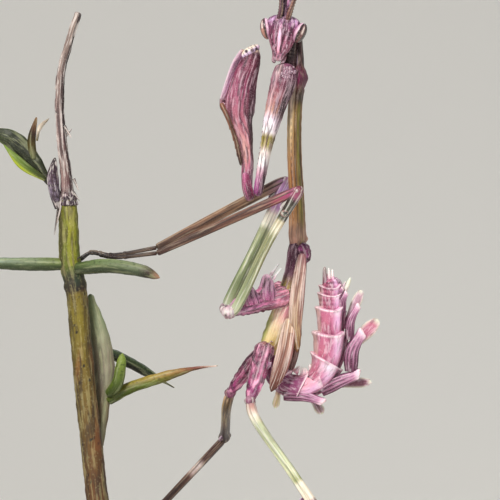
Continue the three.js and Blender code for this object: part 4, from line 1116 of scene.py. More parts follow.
def abdomen_segment(k):
    """Segment k with its flared rear edge and crest teeth. It starts inside the one before it."""
    starts = ABDOMEN_JOINTS[k]
    ends = ABDOMEN_LENGTH if k == TAIL else ABDOMEN_JOINTS[k + 1]
    span = (ends - starts) / ABDOMEN_LENGTH
    lead = 0.18 * span * (k > 0) + RIM_TILT.get(k - 1, 0) / ABDOMEN_LENGTH
    u0, u1 = starts / ABDOMEN_LENGTH - lead, min(1.0, ends / ABDOMEN_LENGTH + 0.03)
    rear = half_depth(min(ends / ABDOMEN_LENGTH, 0.97))
    wide = rear * ABDOMEN_BREADTH
    if k == TAIL:
        rows = [(0, 0.98, 0.98), (0.35, 1.08, 1.06), (0.75, 0.86, 0.86), (1, 0.5, 0.5)]
    else:
        rows = [(0, 0.72, 0.74), (0.25, 0.82, 0.84), (0.6, 0.92, 0.92), (0.88, 1.0, 0.98),
                (0.955, 1.04, 1.03), (0.985, 0.98, 0.98), (1, 0.8, 0.8)]
    keys = sized(rows, wide, rear)
    form = loft(abdomen_path(u0, u1), keys, sides=120, rings=72, shape=segment_shape(k),
                relief=small_rings if k == TAIL else None, slide=None if k == TAIL else rear_rim(k),
                ends=(0, 0.7 if k == TAIL else 0))
    form = roughened(form, 0.03 if k == 1 else 0.015, 0.9, 20 + k).painted(segment_paint(k))
    return [form, *crest_teeth(k)]


def from_crest(angle):
    """How many degrees an angle of the abdomen's section lies from the middle of the back."""
    return np.abs((angle + 90) % 360 - 180)


def crest_teeth(k):
    """The white teeth on the crest of a segment's rear edge."""
    forms = []
    for root, tip in CREST_TEETH.get(k, ()):
        run = unit((tip[0] - root[0], 0, tip[1] - root[1]))
        tooth = leaf((root[0], 0, root[1]), (tip[0], 0, tip[1]), 0.26, (-run[2], 0, run[0]), waist=0.42,
                     thick=0.26, peak=0.42)
        forms.append(tooth.painted(bands((0, "e0a8bc"), (0.4, "f8e4e8"), (1, "fffaf4"))))
    return forms


def rim_painted(form, inner, rim, share=0.62):
    """A leaf with a pale rim: inner is a paint."""
    reach = np.abs(form.flow[:, 0])
    widest = np.interp(form.u, *profile_of(form, reach))
    edge = clamp((reach / (widest + 1e-9) - share) / (1 - share)) * (form.u > 0.3)
    edge = np.maximum(edge, clamp((form.u - 0.86) / 0.1))
    form.tint = mixed(inner(form), rim, 0.9 * edge)
    return form


def profile_of(form, reach):
    """The greatest reach at each ring of a form, as (shares, reaches)."""
    shares = np.unique(form.u)
    return shares, np.array([reach[form.u == s].max() for s in shares])


BELLY_PAINT = {
    1: bands((0, "b890a0"), (0.4, "d8c8a8"), (1, "cfc39a")),
    2: bands((0, "7c4464"), (0.5, "8c6c78"), (1, "b8a09c")),
    3: bands((0, "6c4058"), (0.5, "8c6070"), (1, "a87c8c")),
    4: bands((0, "8a4864"), (0.45, "b87c94"), (0.7, "cc8ca0"), (1, "d89cac")),
    5: bands((0, "a06080"), (0.45, "b890a4"), (1, "d4b8c0")),
    6: bands((0, "c89cb8"), (0.4, "e8dcdc"), (1, "e8ecd4")),
    7: bands((0, "c89cb8"), (1, "e8d8dc")),
}


def belly_forms(k):
    """The pale leaf under segment k, and its keel on each side where it has one."""
    lobe = BELLY_LOBES[k]
    root, tip = ((x, 0, z) for x, z in (lobe["root"], lobe["tip"]))
    run = unit(np.subtract(tip, root))
    paddle = leaf(root, tip, lobe["half"], (-run[2], 0, run[0]), waist=0.5 * lobe["half"], thick=0.17,
                  ripple=0.05, peak=0.76, blunt=0.5)
    keels = [keel_form(lobe, s) for s in SIDES.values()] if "keel" in lobe else []
    return [rim_painted(paddle, BELLY_PAINT[k], "e4e8d8", share=0.5), *keels]


def keel_form(lobe, s):
    """The folded side of a belly segment: a ribbed scoop whose end flares out to a pale cut edge."""
    (x0, z0), (x1, z1), (x2, z2) = lobe["keel"]
    run = unit((x2 - x0, 0, z2 - z0))
    half = lobe["keel_half"]
    rows = [(0, 0.8, 0.42), (0.3, 1.0, 0.42), (0.6, 0.88, 0.34), (0.82, 0.7, 0.26), (0.93, 0.74, 0.22),
            (0.98, 0.66, 0.16), (1, 0.4, 0.08)]
    keys = sized(rows, half, 1)
    path = [(x0, s * KEEL_Y, z0), (x1, s * 1.1 * KEEL_Y, z1), (x2, s * 1.25 * KEEL_Y, z2)]
    form = loft(path, keys, side=(-run[2], 0, run[0]), sides=56, rings=60,
                relief=lambda u, a, s_mm: 0.05 * np.cos(np.radians(a * 10)) * clamp(1.1 - u),
                slide=lambda u, a: clamp((u - 0.75) / 0.2) * 0.3 * np.cos(np.radians(a)) * half)

    def paint(f):
        ribs = 0.5 - 0.5 * np.cos(np.radians(f.angle * 10))
        return layered(
            bands((0, "74385c"), (0.35, "8c5074"), (0.62, "a87494"), (0.84, "d8a8c4"), (0.96, "fae8ee"),
                  (1, "f0d8d8"))(f),
            ("5c2048", 0.85 * ribs * clamp(1.5 - 1.5 * f.u)),
            ("f0cce0", 0.5 * (1 - ribs) * near(f.u, 0.45, 0.35)),
            ("4c1838", 0.6 * clamp(np.abs(f.flow[:, 0]) / half - 0.62) * 2 * (f.u < 0.85)),
        )

    return form.painted(paint)


def tail_plates():
    """At the end a grey-pink plate below, a thin ridge in the middle and a folded plate above."""
    plates = (
        (on_abdomen(0.9, 0, -0.75), on_abdomen(0.985, 0, -0.5, 0.25), 0.62, 0.6, 0.62, 0.45,
         mottled([(0, "a4708c"), (0.6, "a88498"), (1, "b89cac")], "6a3c58", 0.5, 0.5, 33)),
        (on_abdomen(0.92, 0, -0.3), on_abdomen(1, 0, -0.15, 0.35), 0.28, 0.2, 0.86, 0.5,
         bands((0, "d07ca4"), (0.5, "f0b4d4"), (1, "f4d8e0"))),
        (on_abdomen(0.93, 0, 0.7), on_abdomen(1, 0, 0.45, 0.4), 0.42, 0.4, 0.7, 0.45,
         mottled([(0, "d08098"), (0.6, "cc8ca4"), (1, "d8b8b8")], "5c2040", 0.6, 0.35, 34)),
    )
    return [leaf(root, tip, half, (1, 0, 0.1), waist=waist, thick=thick, peak=peak).painted(paint)
            for root, tip, half, waist, thick, peak, paint in plates]


def tail_points(s):
    """One side's cercus and its two white points."""
    path = [on_abdomen(0.96, s * 0.5, 0.75), on_abdomen(1, s * 0.55, 0.72, 0.45),
            on_abdomen(1, s * 0.5, 0.66, 1.15)]
    keys = [(0, 0.26, 0.26), (0.5, 0.24, 0.22), (0.8, 0.22, 0.2), (1, 0.1, 0.1)]
    cercus = loft(path, keys, sides=16, rings=30, ends=(0.1, 0.15))
    forms = [cercus.painted(bands((0, "8c6474"), (0.5, "9c8c8c"), (1, "b0a8a0")))]
    for up, reach in ((0.24, 1.0), (-0.14, 0.82)):
        point = spine(on_abdomen(0.97, s * 0.4, up), on_abdomen(1, s * 0.42, up, reach), 0.24, sides=12,
                      rings=18, blunt=0.3)
        forms.append(point.painted(bands((0, "b06c90"), (0.45, "ecdcdc"), (1, "fffaf4"))))
    return forms


for k in range(len(ABDOMEN_JOINTS)):
    name = "abdomen_tip" if k == TAIL else f"abdomen_{k + 1}"
    shapes = abdomen_segment(k)
    if k in BELLY_LOBES:
        shapes += belly_forms(k)
    if k == TAIL:
        shapes += [*tail_plates(), *tail_points(LEFT), *tail_points(RIGHT)]
    piece(f"{name}_skin", shapes, ABDOMEN_SKIN, "abdomen", name)


# ---------------------------------------------------------------- wing pads
def wing_pad(pad, s, thick=0.24):
    """A wing pad: a thin scale with raised veins."""
    half = pad["half"]
    rows = [(0, 0.5, 1), (0.2, 0.85, 1), (0.5, 1, 1), (0.75, 0.85, 0.9), (0.93, 0.45, 0.7)]
    keys = sized(rows, half, thick) + [(1, 0.12, 0.1)]
    shift = pad["far_shift"] if s == RIGHT else 0
    line = [(x + shift, y, z) for x, y, z in mirrored(pad["line"], s)]
    form = loft(line, keys, side=(1, s * 0.3, 0.1), sides=64, rings=110, ends=(0.3, 0.5))
    # The veins stand up as ridges that run from root to tip.
    across = form.flow[:, 0] / half
    veins = sum(near(across, c + 0.1 * (form.u - 0.5), 0.055) for c in (-0.66, -0.4, -0.15, 0.12, 0.4, 0.68))
    form.points = form.points + (0.07 * veins * np.sin(np.pi * form.u))[:, None] * form.out

    def paint(f):
        return layered(
            bands(*pad["tints"])(f),
            # The pale left margin, towards the light, is painted light.
            ("fbeee6", 0.85 * near(across, -0.72, 0.36) * clamp(1.3 - f.u)),
            ("7c4438", 0.8 * clamp(veins) * (0.5 + 0.4 * f.u)),
            ("7c4438", 0.5 * patches(f, 0.5, 97, stretch=0.12) * (f.u > 0.2)),
            ("b8848c", 0.6 * near(across, 0.85, 0.25) * near(f.u, 0.4, 0.35)),
            # The far pads are painted darker all over: painted shade.
            ("6c4434", 0.5 * (s == RIGHT) * np.ones(len(f.u))),
        )

    return form.painted(paint)


for side, s in SIDES.items():
    for pair, pad in (("fore", FORE_PAD), ("hind", HIND_PAD)):
        name = f"{pair}_wing_pad_{side}"
        piece(f"{name}_skin", [wing_pad(pad, s)], PAD_SKIN, "wing_pad", name)


# ---------------------------------------------------------------- raptorial forelegs
def ridged(*ridges):
    """A section shape with lengthwise ridges: (angle, height share, width in degrees)."""

    def shape(u, a):
        total = 1.0
        for centre, height, width in ridges:
            total = total + height * near((a - centre + 180) % 360, 180, width)
        return total

    return shape


def squared(height):
    """A section shape with four even ridges."""
    return ridged(*((angle, height, 9) for angle in (45, 135, 225, 315)))


def fore_coxa(s):
    """A foreleg's coxa with its grains and teeth."""
    keys = [(0, 0.8, 0.58), (0.055, 1.14, 0.73), (0.12, 1.28, 0.78), (0.24, 1.14, 0.72), (0.36, 0.96, 0.64),
            (0.45, 0.85, 0.58), (0.565, 0.66, 0.49), (0.67, 0.57, 0.45), (0.8, 0.52, 0.43),
            (0.9, 0.49, 0.41), (1, 0.42, 0.38)]
    form = loft(mirrored(FORE_COXA, s), keys, side=(1, 0, 0.2), sides=56, rings=140,
                shape=ridged((0, 0.1, 10), (180, 0.12, 9), (90, 0.06, 14), (270, 0.06, 14)), ends=(0.5, 0.3))

    def paint(f):
        across = f.flow[:, 0]
        half = ease(f.u, keys)[:, 0]
        rear = clamp((across / half - 0.28) / 0.25)
        return layered(
            bands((0, "9c6c84"), (0.1, "8c4c70"), (0.2, "9c5f70"), (0.3, "b48484"), (0.37, "c4a090"),
                  (0.43, "fff0fa"), (0.53, "fff8fc"), (0.57, "a8a058"), (0.63, "bcb470"), (0.67, "f4ece4"),
                  (0.76, "fffafa"), (0.84, "e0bccc"), (0.9, "c080ac"), (1, "a05490"))(f),
            ("c0b0a4", 0.7 * near(across / half, -0.6, 0.35) * near(f.u, 0.06, 0.07)),
            ("5c1c40", 0.7 * near(across / half, 0.35, 0.25) * near(f.u, 0.17, 0.05)),
            # Painted shade down the right edge, which faces away from the light, darkening the olive band
            # there too.
            ("380e20", 0.97 * rear * clamp(1.2 * near(f.u, 0.28, 0.19) + near(f.u, 0.88, 0.12))),
            ("6c6434", 0.6 * rear * near(f.u, 0.62, 0.06)),
            ("6c3850", 0.7 * near(across / half, 0.05, 0.12) * near(f.u, 0.28, 0.14)),
            # The left edge of the upper half is painted paler: painted light.
            ("f0dce0", 0.6 * near(across / half, -0.75, 0.2) * (f.u < 0.5)),
        )

    return [roughened(form, 0.02, 0.6, 31).painted(paint), *coxa_grains(s, keys), *coxa_teeth(s, keys)]


def coxa_grains(s, keys):
    """The pale grains on the shoulder of a foreleg's coxa, whose section follows keys."""
    forms = []
    line = smooth_line(mirrored(FORE_COXA, s))
    rng = np.random.default_rng(4)
    for _ in range(34):
        u, spread = rng.uniform(0.03, 0.12), rng.uniform(-0.35, 0.95)
        half = half_at(u, keys)
        out = (spread * half[0], s * half[1] * math.sqrt(1 - spread**2) * 1.04, 0)
        grain = orb(plus(point_at(line, u), out), [rng.uniform(0.08, 0.15)] * 3, None, 10, 8)
        forms.append(grain.painted(bands((0, "fceaf2"), (1, "f0c8dc"))))
    return forms


def coxa_teeth(s, keys):
    """The row of small teeth down the front edge of a foreleg's coxa."""
    forms = []
    line = smooth_line(mirrored(FORE_COXA, s))
    for u in np.linspace(0.16, 0.8, 17):
        root = plus(point_at(line, u), (-1.06 * half_at(u, keys)[0], 0, 0))
        tooth = spine(root, plus(root, (-0.12, 0, -0.08)), 0.06, sides=8, rings=6)
        forms.append(tooth.painted(bands((0, "6c4050"), (1, "3a1c24"))))
    return forms


def fore_femur(s):
    """A foreleg's femur, with the trochanter, the pale knee cap and two rows of spines."""
    keys = [(0, 0.42, 0.4), (0.11, 0.6, 0.49), (0.2, 0.66, 0.52), (0.28, 0.66, 0.53), (0.36, 0.84, 0.6),
            (0.44, 1.12, 0.7), (0.5, 1.36, 0.77), (0.57, 1.66, 0.83), (0.63, 1.66, 0.83), (0.72, 1.48, 0.8),
            (0.82, 1.26, 0.75), (0.92, 0.95, 0.65), (0.97, 0.6, 0.5), (1, 0.4, 0.36)]
    ridges = ((0, 0.05, 9), (62, 0.05, 7), (90, 0.05, 8), (118, 0.05, 7), (180, -0.08, 12), (242, 0.05, 7),
              (270, 0.05, 8), (298, 0.05, 7))
    form = loft(mirrored(FORE_FEMUR, s), keys, side=(1, 0, 0.2), sides=96, rings=220, shape=ridged(*ridges),
                ends=(0.3, 0.55))

    def paint(f):
        across = f.flow[:, 0]
        front = clamp(facing(f, (-0.9, 0, 0.1)))
        share = across / ease(f.u, keys)[:, 0]
        knee = clamp((f.u - 0.945) / 0.02)
        spots = near(f.u, 0.965, 0.012) * near(f.angle % 60, 30, 9)
        return layered(
            bands((0, "94406a"), (0.08, "a85480"), (0.14, "903c68"), (0.2, "c8809c"), (0.3, "e0b0b4"),
                  (0.4, "cc94a0"), (0.5, "bc7c90"), (0.62, "b4748c"), (0.72, "a8547c"), (0.78, "903060"),
                  (0.9, "802450"), (0.945, "641c40"))(f),
            # Painted light on the side that faces the light.
            ("dcb0c0", 0.55 * front * near(f.u, 0.45, 0.3)),
            ("c890a8", 0.6 * near(across, -0.55, 0.28) * near(f.u, 0.82, 0.09)),
            # Painted shade on the right side of the upper femur.
            ("74284c", 0.6 * near(share, 0.6, 0.38) * near(f.u, 0.7, 0.16)),
            ("4c1430", 0.6 * patches(f, 0.5, 95, stretch=0.14) * (f.u > 0.36)),
            ("d0a88c", 0.5 * near(share, -0.1, 0.6) * near(f.u, 0.27, 0.07)),
            ("e8c4bc", 0.6 * near(share, -0.3, 0.5) * near(f.u, 0.33, 0.13)),
            ("8c3c60", 0.5 * patches(f, 0.6, 93, stretch=0.2) * (f.u > 0.3)),
            ("b8848c", 0.35 * near(f.u, 0.47, 0.12)),
            # Painted shade down the right margin.
            ("380e20", 0.95 * clamp(share / 0.3 - 1.5) * near(f.u, 0.45, 0.46)),
            ("e4d4bc", knee),
            ("4c2c48", 0.9 * spots),
        )

    return [roughened(form, 0.02, 0.7, 41).painted(paint), trochanter_form(s), knee_cap(s), *femur_spines(s)]


def trochanter_form(s):
    """The trochanter of a foreleg, set off from the femur by a dark line."""
    form = loft(mirrored([(5.1, 2.9, 61.2), (5.12, 2.95, 59.6), (5.55, 2.95, 57.7)], s),
                [(0, 0.3, 0.3), (0.25, 0.5, 0.5), (0.7, 0.58, 0.5), (1, 0.46, 0.42)], side=(1, 0, 0.2),
                sides=40, rings=50, ends=(0.3, 0.3))
    tint = bands((0, "b45c88"), (0.6, "9c3c6c"), (1, "7c2c50"))(form)
    form.tint = mixed(tint, "e0a0c0", 0.6 * near(form.flow[:, 0], -0.2, 0.14))
    return form


def knee_cap(s):
    """The pale cap on the knee of a foreleg, with its dark dots."""
    cap = orb((5.5, s * 2.15, 74.0), (1.2, 0.76, 0.52), turned(-33, "Y"), 64, 48)
    cap.painted(bands((0, "f8f2e0"), (0.34, "f4e8dc"), (0.5, "dccce0"), (1, "c4a4c4")))
    for x, z in ((5.09, 73.98), (5.72, 74.05), (6.2, 74.2)):
        away = np.hypot(cap.points[:, 0] - x, cap.points[:, 2] - z)
        cap.tint = mixed(cap.tint, "2c1430", 0.95 * clamp((0.22 - away) / 0.08))
    return cap


def femur_spines(s):
    """Spines in two rows that flank the shin, on the femur's inner and outer edge."""
    forms = []
    count = 9
    for i in range(count):
        tip = mix((3.45, 2.95, 67.8), (4.75, 2.75, 72.8), i / (count - 1))
        reach = 0.28 if i % 2 else 0.0
        for way in (1, -1):
            y = tip[1] - 0.5 + 0.5 * way
            root = (tip[0] + 1.0, s * (y - 0.3 * way), tip[2] - 0.1)
            thorn = spine(root, (tip[0] + reach, s * y, tip[2] + 0.16), 0.13, sides=10, rings=12)
            forms.append(thorn.painted(bands((0, "8c4c68"), (0.6, "c898ac"), (1, "3a1820"))))
    return forms


def fore_tibia(s):
    """A foreleg's tibia, folded against the femur, with its hook and spines."""
    shin = loft(mirrored(FORE_TIBIA, s),
                [(0, 0.4, 0.4), (0.3, 0.46, 0.42), (0.8, 0.38, 0.36), (1, 0.29, 0.29)], side=(1, 0, 0.2),
                sides=40, rings=90, shape=ridged((180, 0.12, 12), (110, 0.07, 9), (250, 0.07, 9)),
                ends=(0.25, 0.2))
    tint = bands((0, "dcc8ac"), (0.12, "a07090"), (0.5, "a87c98"), (0.85, "a47894"), (1, "7a4458"))(shin)
    # Painted light on the side that faces the light.
    shin.tint = mixed(tint, "f4e4ec", 0.9 * clamp(2 * facing(shin, (-1, 0, 0.2)) - 0.9))
    hook = loft(mirrored(FORE_HOOK, s), [(0, 0.27), (0.5, 0.18), (1, 0.04)], sides=20, rings=36,
                ends=(0, 0.1))
    hook.painted(bands((0, "a07080"), (0.5, "6a3c40"), (1, "201010")))
    forms = [shin, hook]
    for i in range(9):
        root = mix(FORE_TIBIA[3], FORE_TIBIA[1], i / 8.6)
        for way in (1, -1):
            tip = plus(root, (0.34, 0.5 * way, -0.42 - 0.05 * (i % 2)))
            thorn = spine(*mirrored((root, tip), s), 0.12, sides=8, rings=10)
            forms.append(thorn.painted(bands((0, "a87890"), (0.7, "d8b4c0"), (1, "4a2430"))))
    return forms


def foot_form(points, half, paint, joints=(0.42, 0.6, 0.73, 0.85), side=(0, 0.3, 1)):
    """A foot of five joints, each a little swollen at its end."""

    def swell(u, a, s):
        return half * sum(0.22 * near(u, j - 0.015, 0.02) - 0.2 * near(u, j + 0.014, 0.008) for j in joints)

    keys = sized([(0, 1, 1), (0.4, 0.92, 0.92), (0.8, 0.95, 0.9), (1, 0.7, 0.7)], half, half)
    return loft(points, keys, side=side, sides=24, rings=150, relief=swell, ends=(0.15, 0.2)).painted(paint)


for side, s in SIDES.items():
    for part, forms in (("coxa", fore_coxa(s)), ("femur", fore_femur(s)), ("tibia", fore_tibia(s))):
        piece(f"fore_{part}_{side}_skin", forms, PINK, "foreleg", f"fore_{part}_{side}")
    foot = foot_form(mirrored(FORE_TARSUS, s), 0.25, bands((0, "a0745c"), (0.5, "8c6048"), (1, "4c2c28")),
                     side=(1, 0, 0.2))
    piece(f"fore_tarsus_{side}_skin", [foot], BROWN, "foot", f"fore_tarsus_{side}")


# ---------------------------------------------------------------- walking legs
COXA_PAINT = {
    "mid": bands((0, "f0b8c8"), (0.25, "dc98b0"), (0.5, "c07ca0"), (0.8, "c490b0"), (1, "e4d4dc")),
    "hind": bands((0, "b08c70"), (0.12, "a87888"), (0.3, "9c5478"), (0.6, "b4648c"), (0.85, "a85088"),
                  (1, "8c4470")),
}
THIGH_PAINT = {
    "mid_left": bands((0, "c8c0b8"), (0.05, "c4c8b0"), (0.15, "acb494"), (0.45, "a8a884"), (0.6, "acac88"),
                      (0.66, "ece6d4"), (0.725, "dcd0b4"), (0.745, "30101a"), (0.88, "40142a"),
                      (0.92, "a86484"), (1, "8a4458")),
    "mid_right": bands((0, "c8c4c0"), (0.05, "b4bca0"), (0.15, "a4b08c"), (0.5, "98a27e"), (0.6, "b4b89c"),
                       (0.64, "f4f2e6"), (0.72, "f0e8e0"), (0.77, "c49cc4"), (0.9, "c8a4d0"),
                       (1, "a47890")),
    "hind_left": bands((0, "a87888"), (0.05, "c8a49c"), (0.12, "f0e4d8"), (0.2, "c4c8ac"), (0.5, "d4d8bc"),
                       (0.62, "dcdcc0"), (0.7, "b4b88c"), (0.735, "f4ecdc"), (0.87, "f0e4d4"),
                       (0.9, "7c2c50"), (1, "7a4c58")),
    "hind_right": bands((0, "e0c0b0"), (0.1, "b89c68"), (0.4, "a48c54"), (0.55, "8c6848"), (0.7, "5c3a34"),
                        (0.85, "542c34"), (1, "502c3c")),
}
SHIN_PAINT = {
    "mid_left": bands((0, "a85c78"), (0.06, "b4608c"), (0.16, "a86074"), (0.25, "8c5c5c"), (0.4, "7c584c"),
                      (0.8, "74544a"), (1, "5c4038")),
    "mid_right": bands((0, "a87cb0"), (0.1, "a88494"), (0.2, "b09884"), (0.4, "9c8068"), (0.8, "8a6c5c"),
                       (1, "5c4438")),
    "hind_left": bands((0, "8a4c68"), (0.1, "94606a"), (0.3, "80584c"), (0.7, "7c5a4c"), (1, "4c3430")),
    "hind_right": bands((0, "5c3844"), (0.12, "5c3c40"), (0.22, "6c4c48"), (0.27, "e8dcd8"),
                        (0.34, "d8c8c4"), (0.38, "7c5c54"), (0.5, "4c3834"), (0.6, "54403a"),
                        (0.68, "d0c0b0"), (0.75, "4c382e"), (1, "302420")),
}
FOOT_PAINT = bands((0, "5c4038"), (0.4, "4a302a"), (0.7, "34221e"), (1, "1c1210"))


def coxa_forms(name, leg):
    """A walking leg's coxa with its leafy lobes."""
    pair, side = name.split("_")
    outward = SIDES[side]
    upright = (-0.1, 0, 1) if pair == "mid" else (1, 0, 0.3)
    half = leg["coxa_half"]

    def at(t):
        return mix(leg["hip"], leg["trochanter"], t)

    run = unit(np.subtract(leg["trochanter"], leg["hip"]))
    broad_root = 0.62 if name == "hind_right" else 1.1
    keys = [(0, broad_root * half, 0.7), (0.3, 1.0 * half, 0.72), (0.65, 0.88 * half, 0.6),
            (1, 0.5 * half, 0.42)]
    form = loft([leg["hip"], plus(at(0.5), (0, outward * 0.15, 0)), leg["trochanter"]], keys, side=upright,
                sides=64, rings=90,
                shape=ridged((0, 0.14, 12), (180, 0.1, 12), (60, 0.1, 9), (120, 0.1, 9), (240, 0.1, 9),
                             (300, 0.1, 9)), ends=(1.1, 0.4))

    def paint(f):
        wide = 1.6 if pair == "mid" else 1.0
        return layered(
            COXA_PAINT[pair](f),
            ("f4bcd4", (0.35 if pair == "mid" else 0.75) * patches(f, 0.5 * wide, 91)),
            ("4c1840", (0.5 if pair == "mid" else 0.75) * patches(f, 0.45 * wide, 92)),
            ("f8d8e8", 0.3 * near(f.angle % 180, 60, 9)),
            ("4c1838", 0.8 * near(f.angle, 180, 24)),
        )

    form = roughened(form, 0.04, 0.6, 50 + len(name)).painted(paint)
    if pair == "mid":
        lobes = upper_lobes(at, run, upright, outward)
    else:
        lobes = [hip_lobe(at, run, upright, outward, half)]
    return [form, *lobes, *hip_grains(leg, pair)]


def upper_lobes(at, run, upright, outward):
    """Two broad leafy lobes on the coxa's upper edge, and a long white spine on the inner one."""
    forms = []
    for t, reach, lean_back, broad in ((0.36, 2.5, 0.35, 1.1), (0.62, 1.85, -0.15, 1.3)):
        foot = plus(at(t), (0, outward * 0.5, 0))
        tip = plus(plus(foot, upright, reach), (lean_back, 0, 0))
        lobe = leaf(foot, tip, 0.75 * broad, run, waist=1.1 * broad, thick=0.34, peak=0.5, blunt=0.5)
        inner = bands((0, "b06c90"), (0.6, "c094b0"), (1, "cca4bc"))
        forms.append(rim_painted(lobe, inner, "f0d8e4", share=0.76))
    root = plus(plus(at(0.36), upright, 2.35), (0.75, outward * 0.5, 0))
    white = spine(root, plus(root, (0.95, 0, 1.3)), 0.22, sides=10, rings=16, blunt=0.4)
    return [*forms, white.painted(bands((0, "e0c8d4"), (0.4, "fbf4f6"), (1, "fffafa")))]


def hip_lobe(at, run, upright, outward, half):
    """The small lobe on a hind coxa."""
    tip = plus(plus(at(0.42), upright, 0.85 * half + 0.5), (0, outward * 0.3, 0))
    lobe = leaf(at(0.5), tip, 0.5, run, waist=0.7, thick=0.17, ripple=0.08, peak=0.55)
    return rim_painted(lobe, bands((0, "a45484"), (0.6, "94587c"), (1, "a880a4")), "e0ccd4")


def hip_grains(leg, pair):
    """Pale grains over the root of the coxa."""
    rng = np.random.default_rng(9)
    outward = np.sign(leg["hip"][1])
    forms = []
    for _ in range(26 if pair == "hind" else 10):
        t = rng.uniform(0.02, 0.16)
        spread = rng.uniform(-0.85, 0.85)
        base = mix(leg["hip"], leg["trochanter"], t)
        way = (0.15, 0, 1) if pair == "mid" else (1, 0, 0.3)
        where = plus(plus(base, way, spread * leg["coxa_half"]),
                     (0, outward * 0.74 * math.sqrt(1 - spread ** 2), 0))
        grain = orb(where, [rng.uniform(0.06, 0.1)] * 3, None, 10, 8)
        forms.append(grain.painted(bands((0, "fff4e8"), (1, "e8ccc8"))))
    return forms


def thigh_forms(name, leg):
    """A walking leg's femur, with the trochanter's knob, the lobe before the knee and its caps."""
    trochanter, knee = leg["trochanter"], leg["knee"]
    shin = unit(np.subtract(leg["ankle"], knee))
    thigh = unit(np.subtract(knee, leg["thigh"]))
    inside = unit(shin - thigh * (shin @ thigh))

    def at(t):
        return mix(leg["thigh"], knee, t)

    knee_rows = [(0.94, 1.1, 1), (1, 0.75, 0.75)]
    if name == "hind_right":
        knee_rows = [(0.93, 1.3, 1.2), (1, 0.9, 0.9)]
    rows = [(0, 0.8, 0.8), (0.06, 1, 0.95), (0.14, 1.0, 0.94), (0.4, 0.9, 0.85), (0.7, 0.95, 0.85),
            (0.84, 1.02, 0.9), *knee_rows]
    keys = sized(rows, leg["femur_half"], leg["femur_half"])
    bowed = plus(at(0.6), (leg["bow"], 0, 0))
    form = loft([trochanter, leg["thigh"], bowed, at(1.02)], keys, side=inside, sides=56, rings=160,
                shape=squared(0.09), ends=(0.3, 0.4))

    def paint(f):
        lines = near(f.angle % 90, 45, 9)
        return layered(
            THIGH_PAINT[name](f),
            ("e4e4c4", 0.5 * lines * near(f.u, 0.4, 0.25)),
            ("4c5430", 0.55 * near(f.angle % 90, 0, 12) * near(f.u, 0.45, 0.3)),
            # Painted shade on the far hind femur's side that faces away from the light.
            ("3c1c14", 0.6 * (name == "hind_right") * clamp(facing(f, (0.8, 0, -0.6)))),
        )

    forms = [form.painted(paint), trochanter_knob(trochanter, name.startswith("mid"))]
    lobe = leaf(at(0.95), plus(at(0.81), inside, 0.95), 0.5, thigh, waist=0.3, thick=0.16, ripple=0.06)
    forms.append(rim_painted(lobe, bands((0, "6c3458"), (1, "7c5078")), "e0d4dc"))
    if name == "mid_left":
        forms += knee_spot(plus(at(0.8), (leg["bow"] + 0.05, -0.42, 0)))
    return forms + knee_caps(at(0.975), thigh, inside)


def trochanter_knob(centre, mid):
    """The knob between a walking leg's coxa and femur, for a middle or a hind leg."""
    knob = orb(centre, (0.8, 0.72, 0.78) if mid else (0.62, 0.6, 0.6), None, 48, 32)
    pale, pink = [(0, "c8a8b4"), (0.5, "e4d8dc"), (1, "b08c9c")], [(0, "b890a0"), (1, "94507c")]
    knob.painted(mottled(pale if mid else pink, "4c2038", 0.85, 0.75, 62, less=0.25))
    return roughened(knob, 0.035, 0.5, 61)


def knee_caps(centre, thigh, inside):
    """The two round caps on the sides of a knee."""
    forms = []
    for way in (1, -1):
        aside = np.cross(thigh, inside) * way
        cap = orb(plus(plus(centre, aside, 0.28), inside, 0.05), (0.3, 0.3, 0.34), None, 20, 14)
        forms.append(cap.painted(bands((0, "d0b0b8"), (1, "7a3c50"))))
    return forms


def knee_spot(centre):
    """The pale ring with a dark middle on the dark patch below the knee."""
    facing_out = turned(90, "X")
    ring = orb(centre, (0.46, 0.42, 0.24), facing_out, 32, 20)
    eye = orb(plus(centre, (0.06, -0.16, -0.03)), (0.3, 0.26, 0.14), facing_out, 24, 16)
    return [ring.painted(bands((0, "a88c84"), (1, "84606c"))),
            eye.painted(bands((0, "2c0c18"), (1, "1c0810")))]


def shin_forms(name, leg):
    """A walking leg's tibia with the two spurs at its end."""
    shin = unit(np.subtract(leg["ankle"], leg["knee"]))
    thigh = unit(np.subtract(leg["knee"], leg["thigh"]))
    start = plus(leg["knee"], shin, -0.1)
    rows = [(0, 0.62, 0.62), (0.05, 1, 1), (0.12, 1.08, 1), (0.6, 0.95, 0.9), (0.95, 0.76, 0.74),
            (1, 0.7, 0.7)]
    keys = sized(rows, leg["tibia_half"], leg["tibia_half"])
    form = loft([start, mix(start, leg["ankle"], 0.5), leg["ankle"]], keys, side=thigh, sides=48,
                rings=160, shape=squared(0.1), ends=(0.25, 0.2))

    def paint(f):
        return layered(
            SHIN_PAINT[name](f),
            ("c8ac94", 0.5 * near(f.angle % 90, 45, 8) * near(f.u, 0.5, 0.4)),
            ("3c2420", 0.5 * near(f.angle % 90, 0, 14)),
            # Painted light on the top of the far middle tibia.
            ("d8c4ac", 0.7 * (name == "mid_right") * clamp(facing(f, (-0.3, 0, 1)) * 2 - 1)),
        )

    forms = [form.painted(paint)]
    across = np.cross(shin, thigh)
    for way in (1, -1):
        root = mix(start, leg["ankle"], 0.97)
        tip = plus(plus(root, shin, 0.75), across * way + thigh * 0.4, 0.28)
        spur = spine(root, tip, 0.11, sides=10, rings=12)
        forms.append(spur.painted(bands((0, "6a4c40"), (1, "2a1814"))))
    return forms


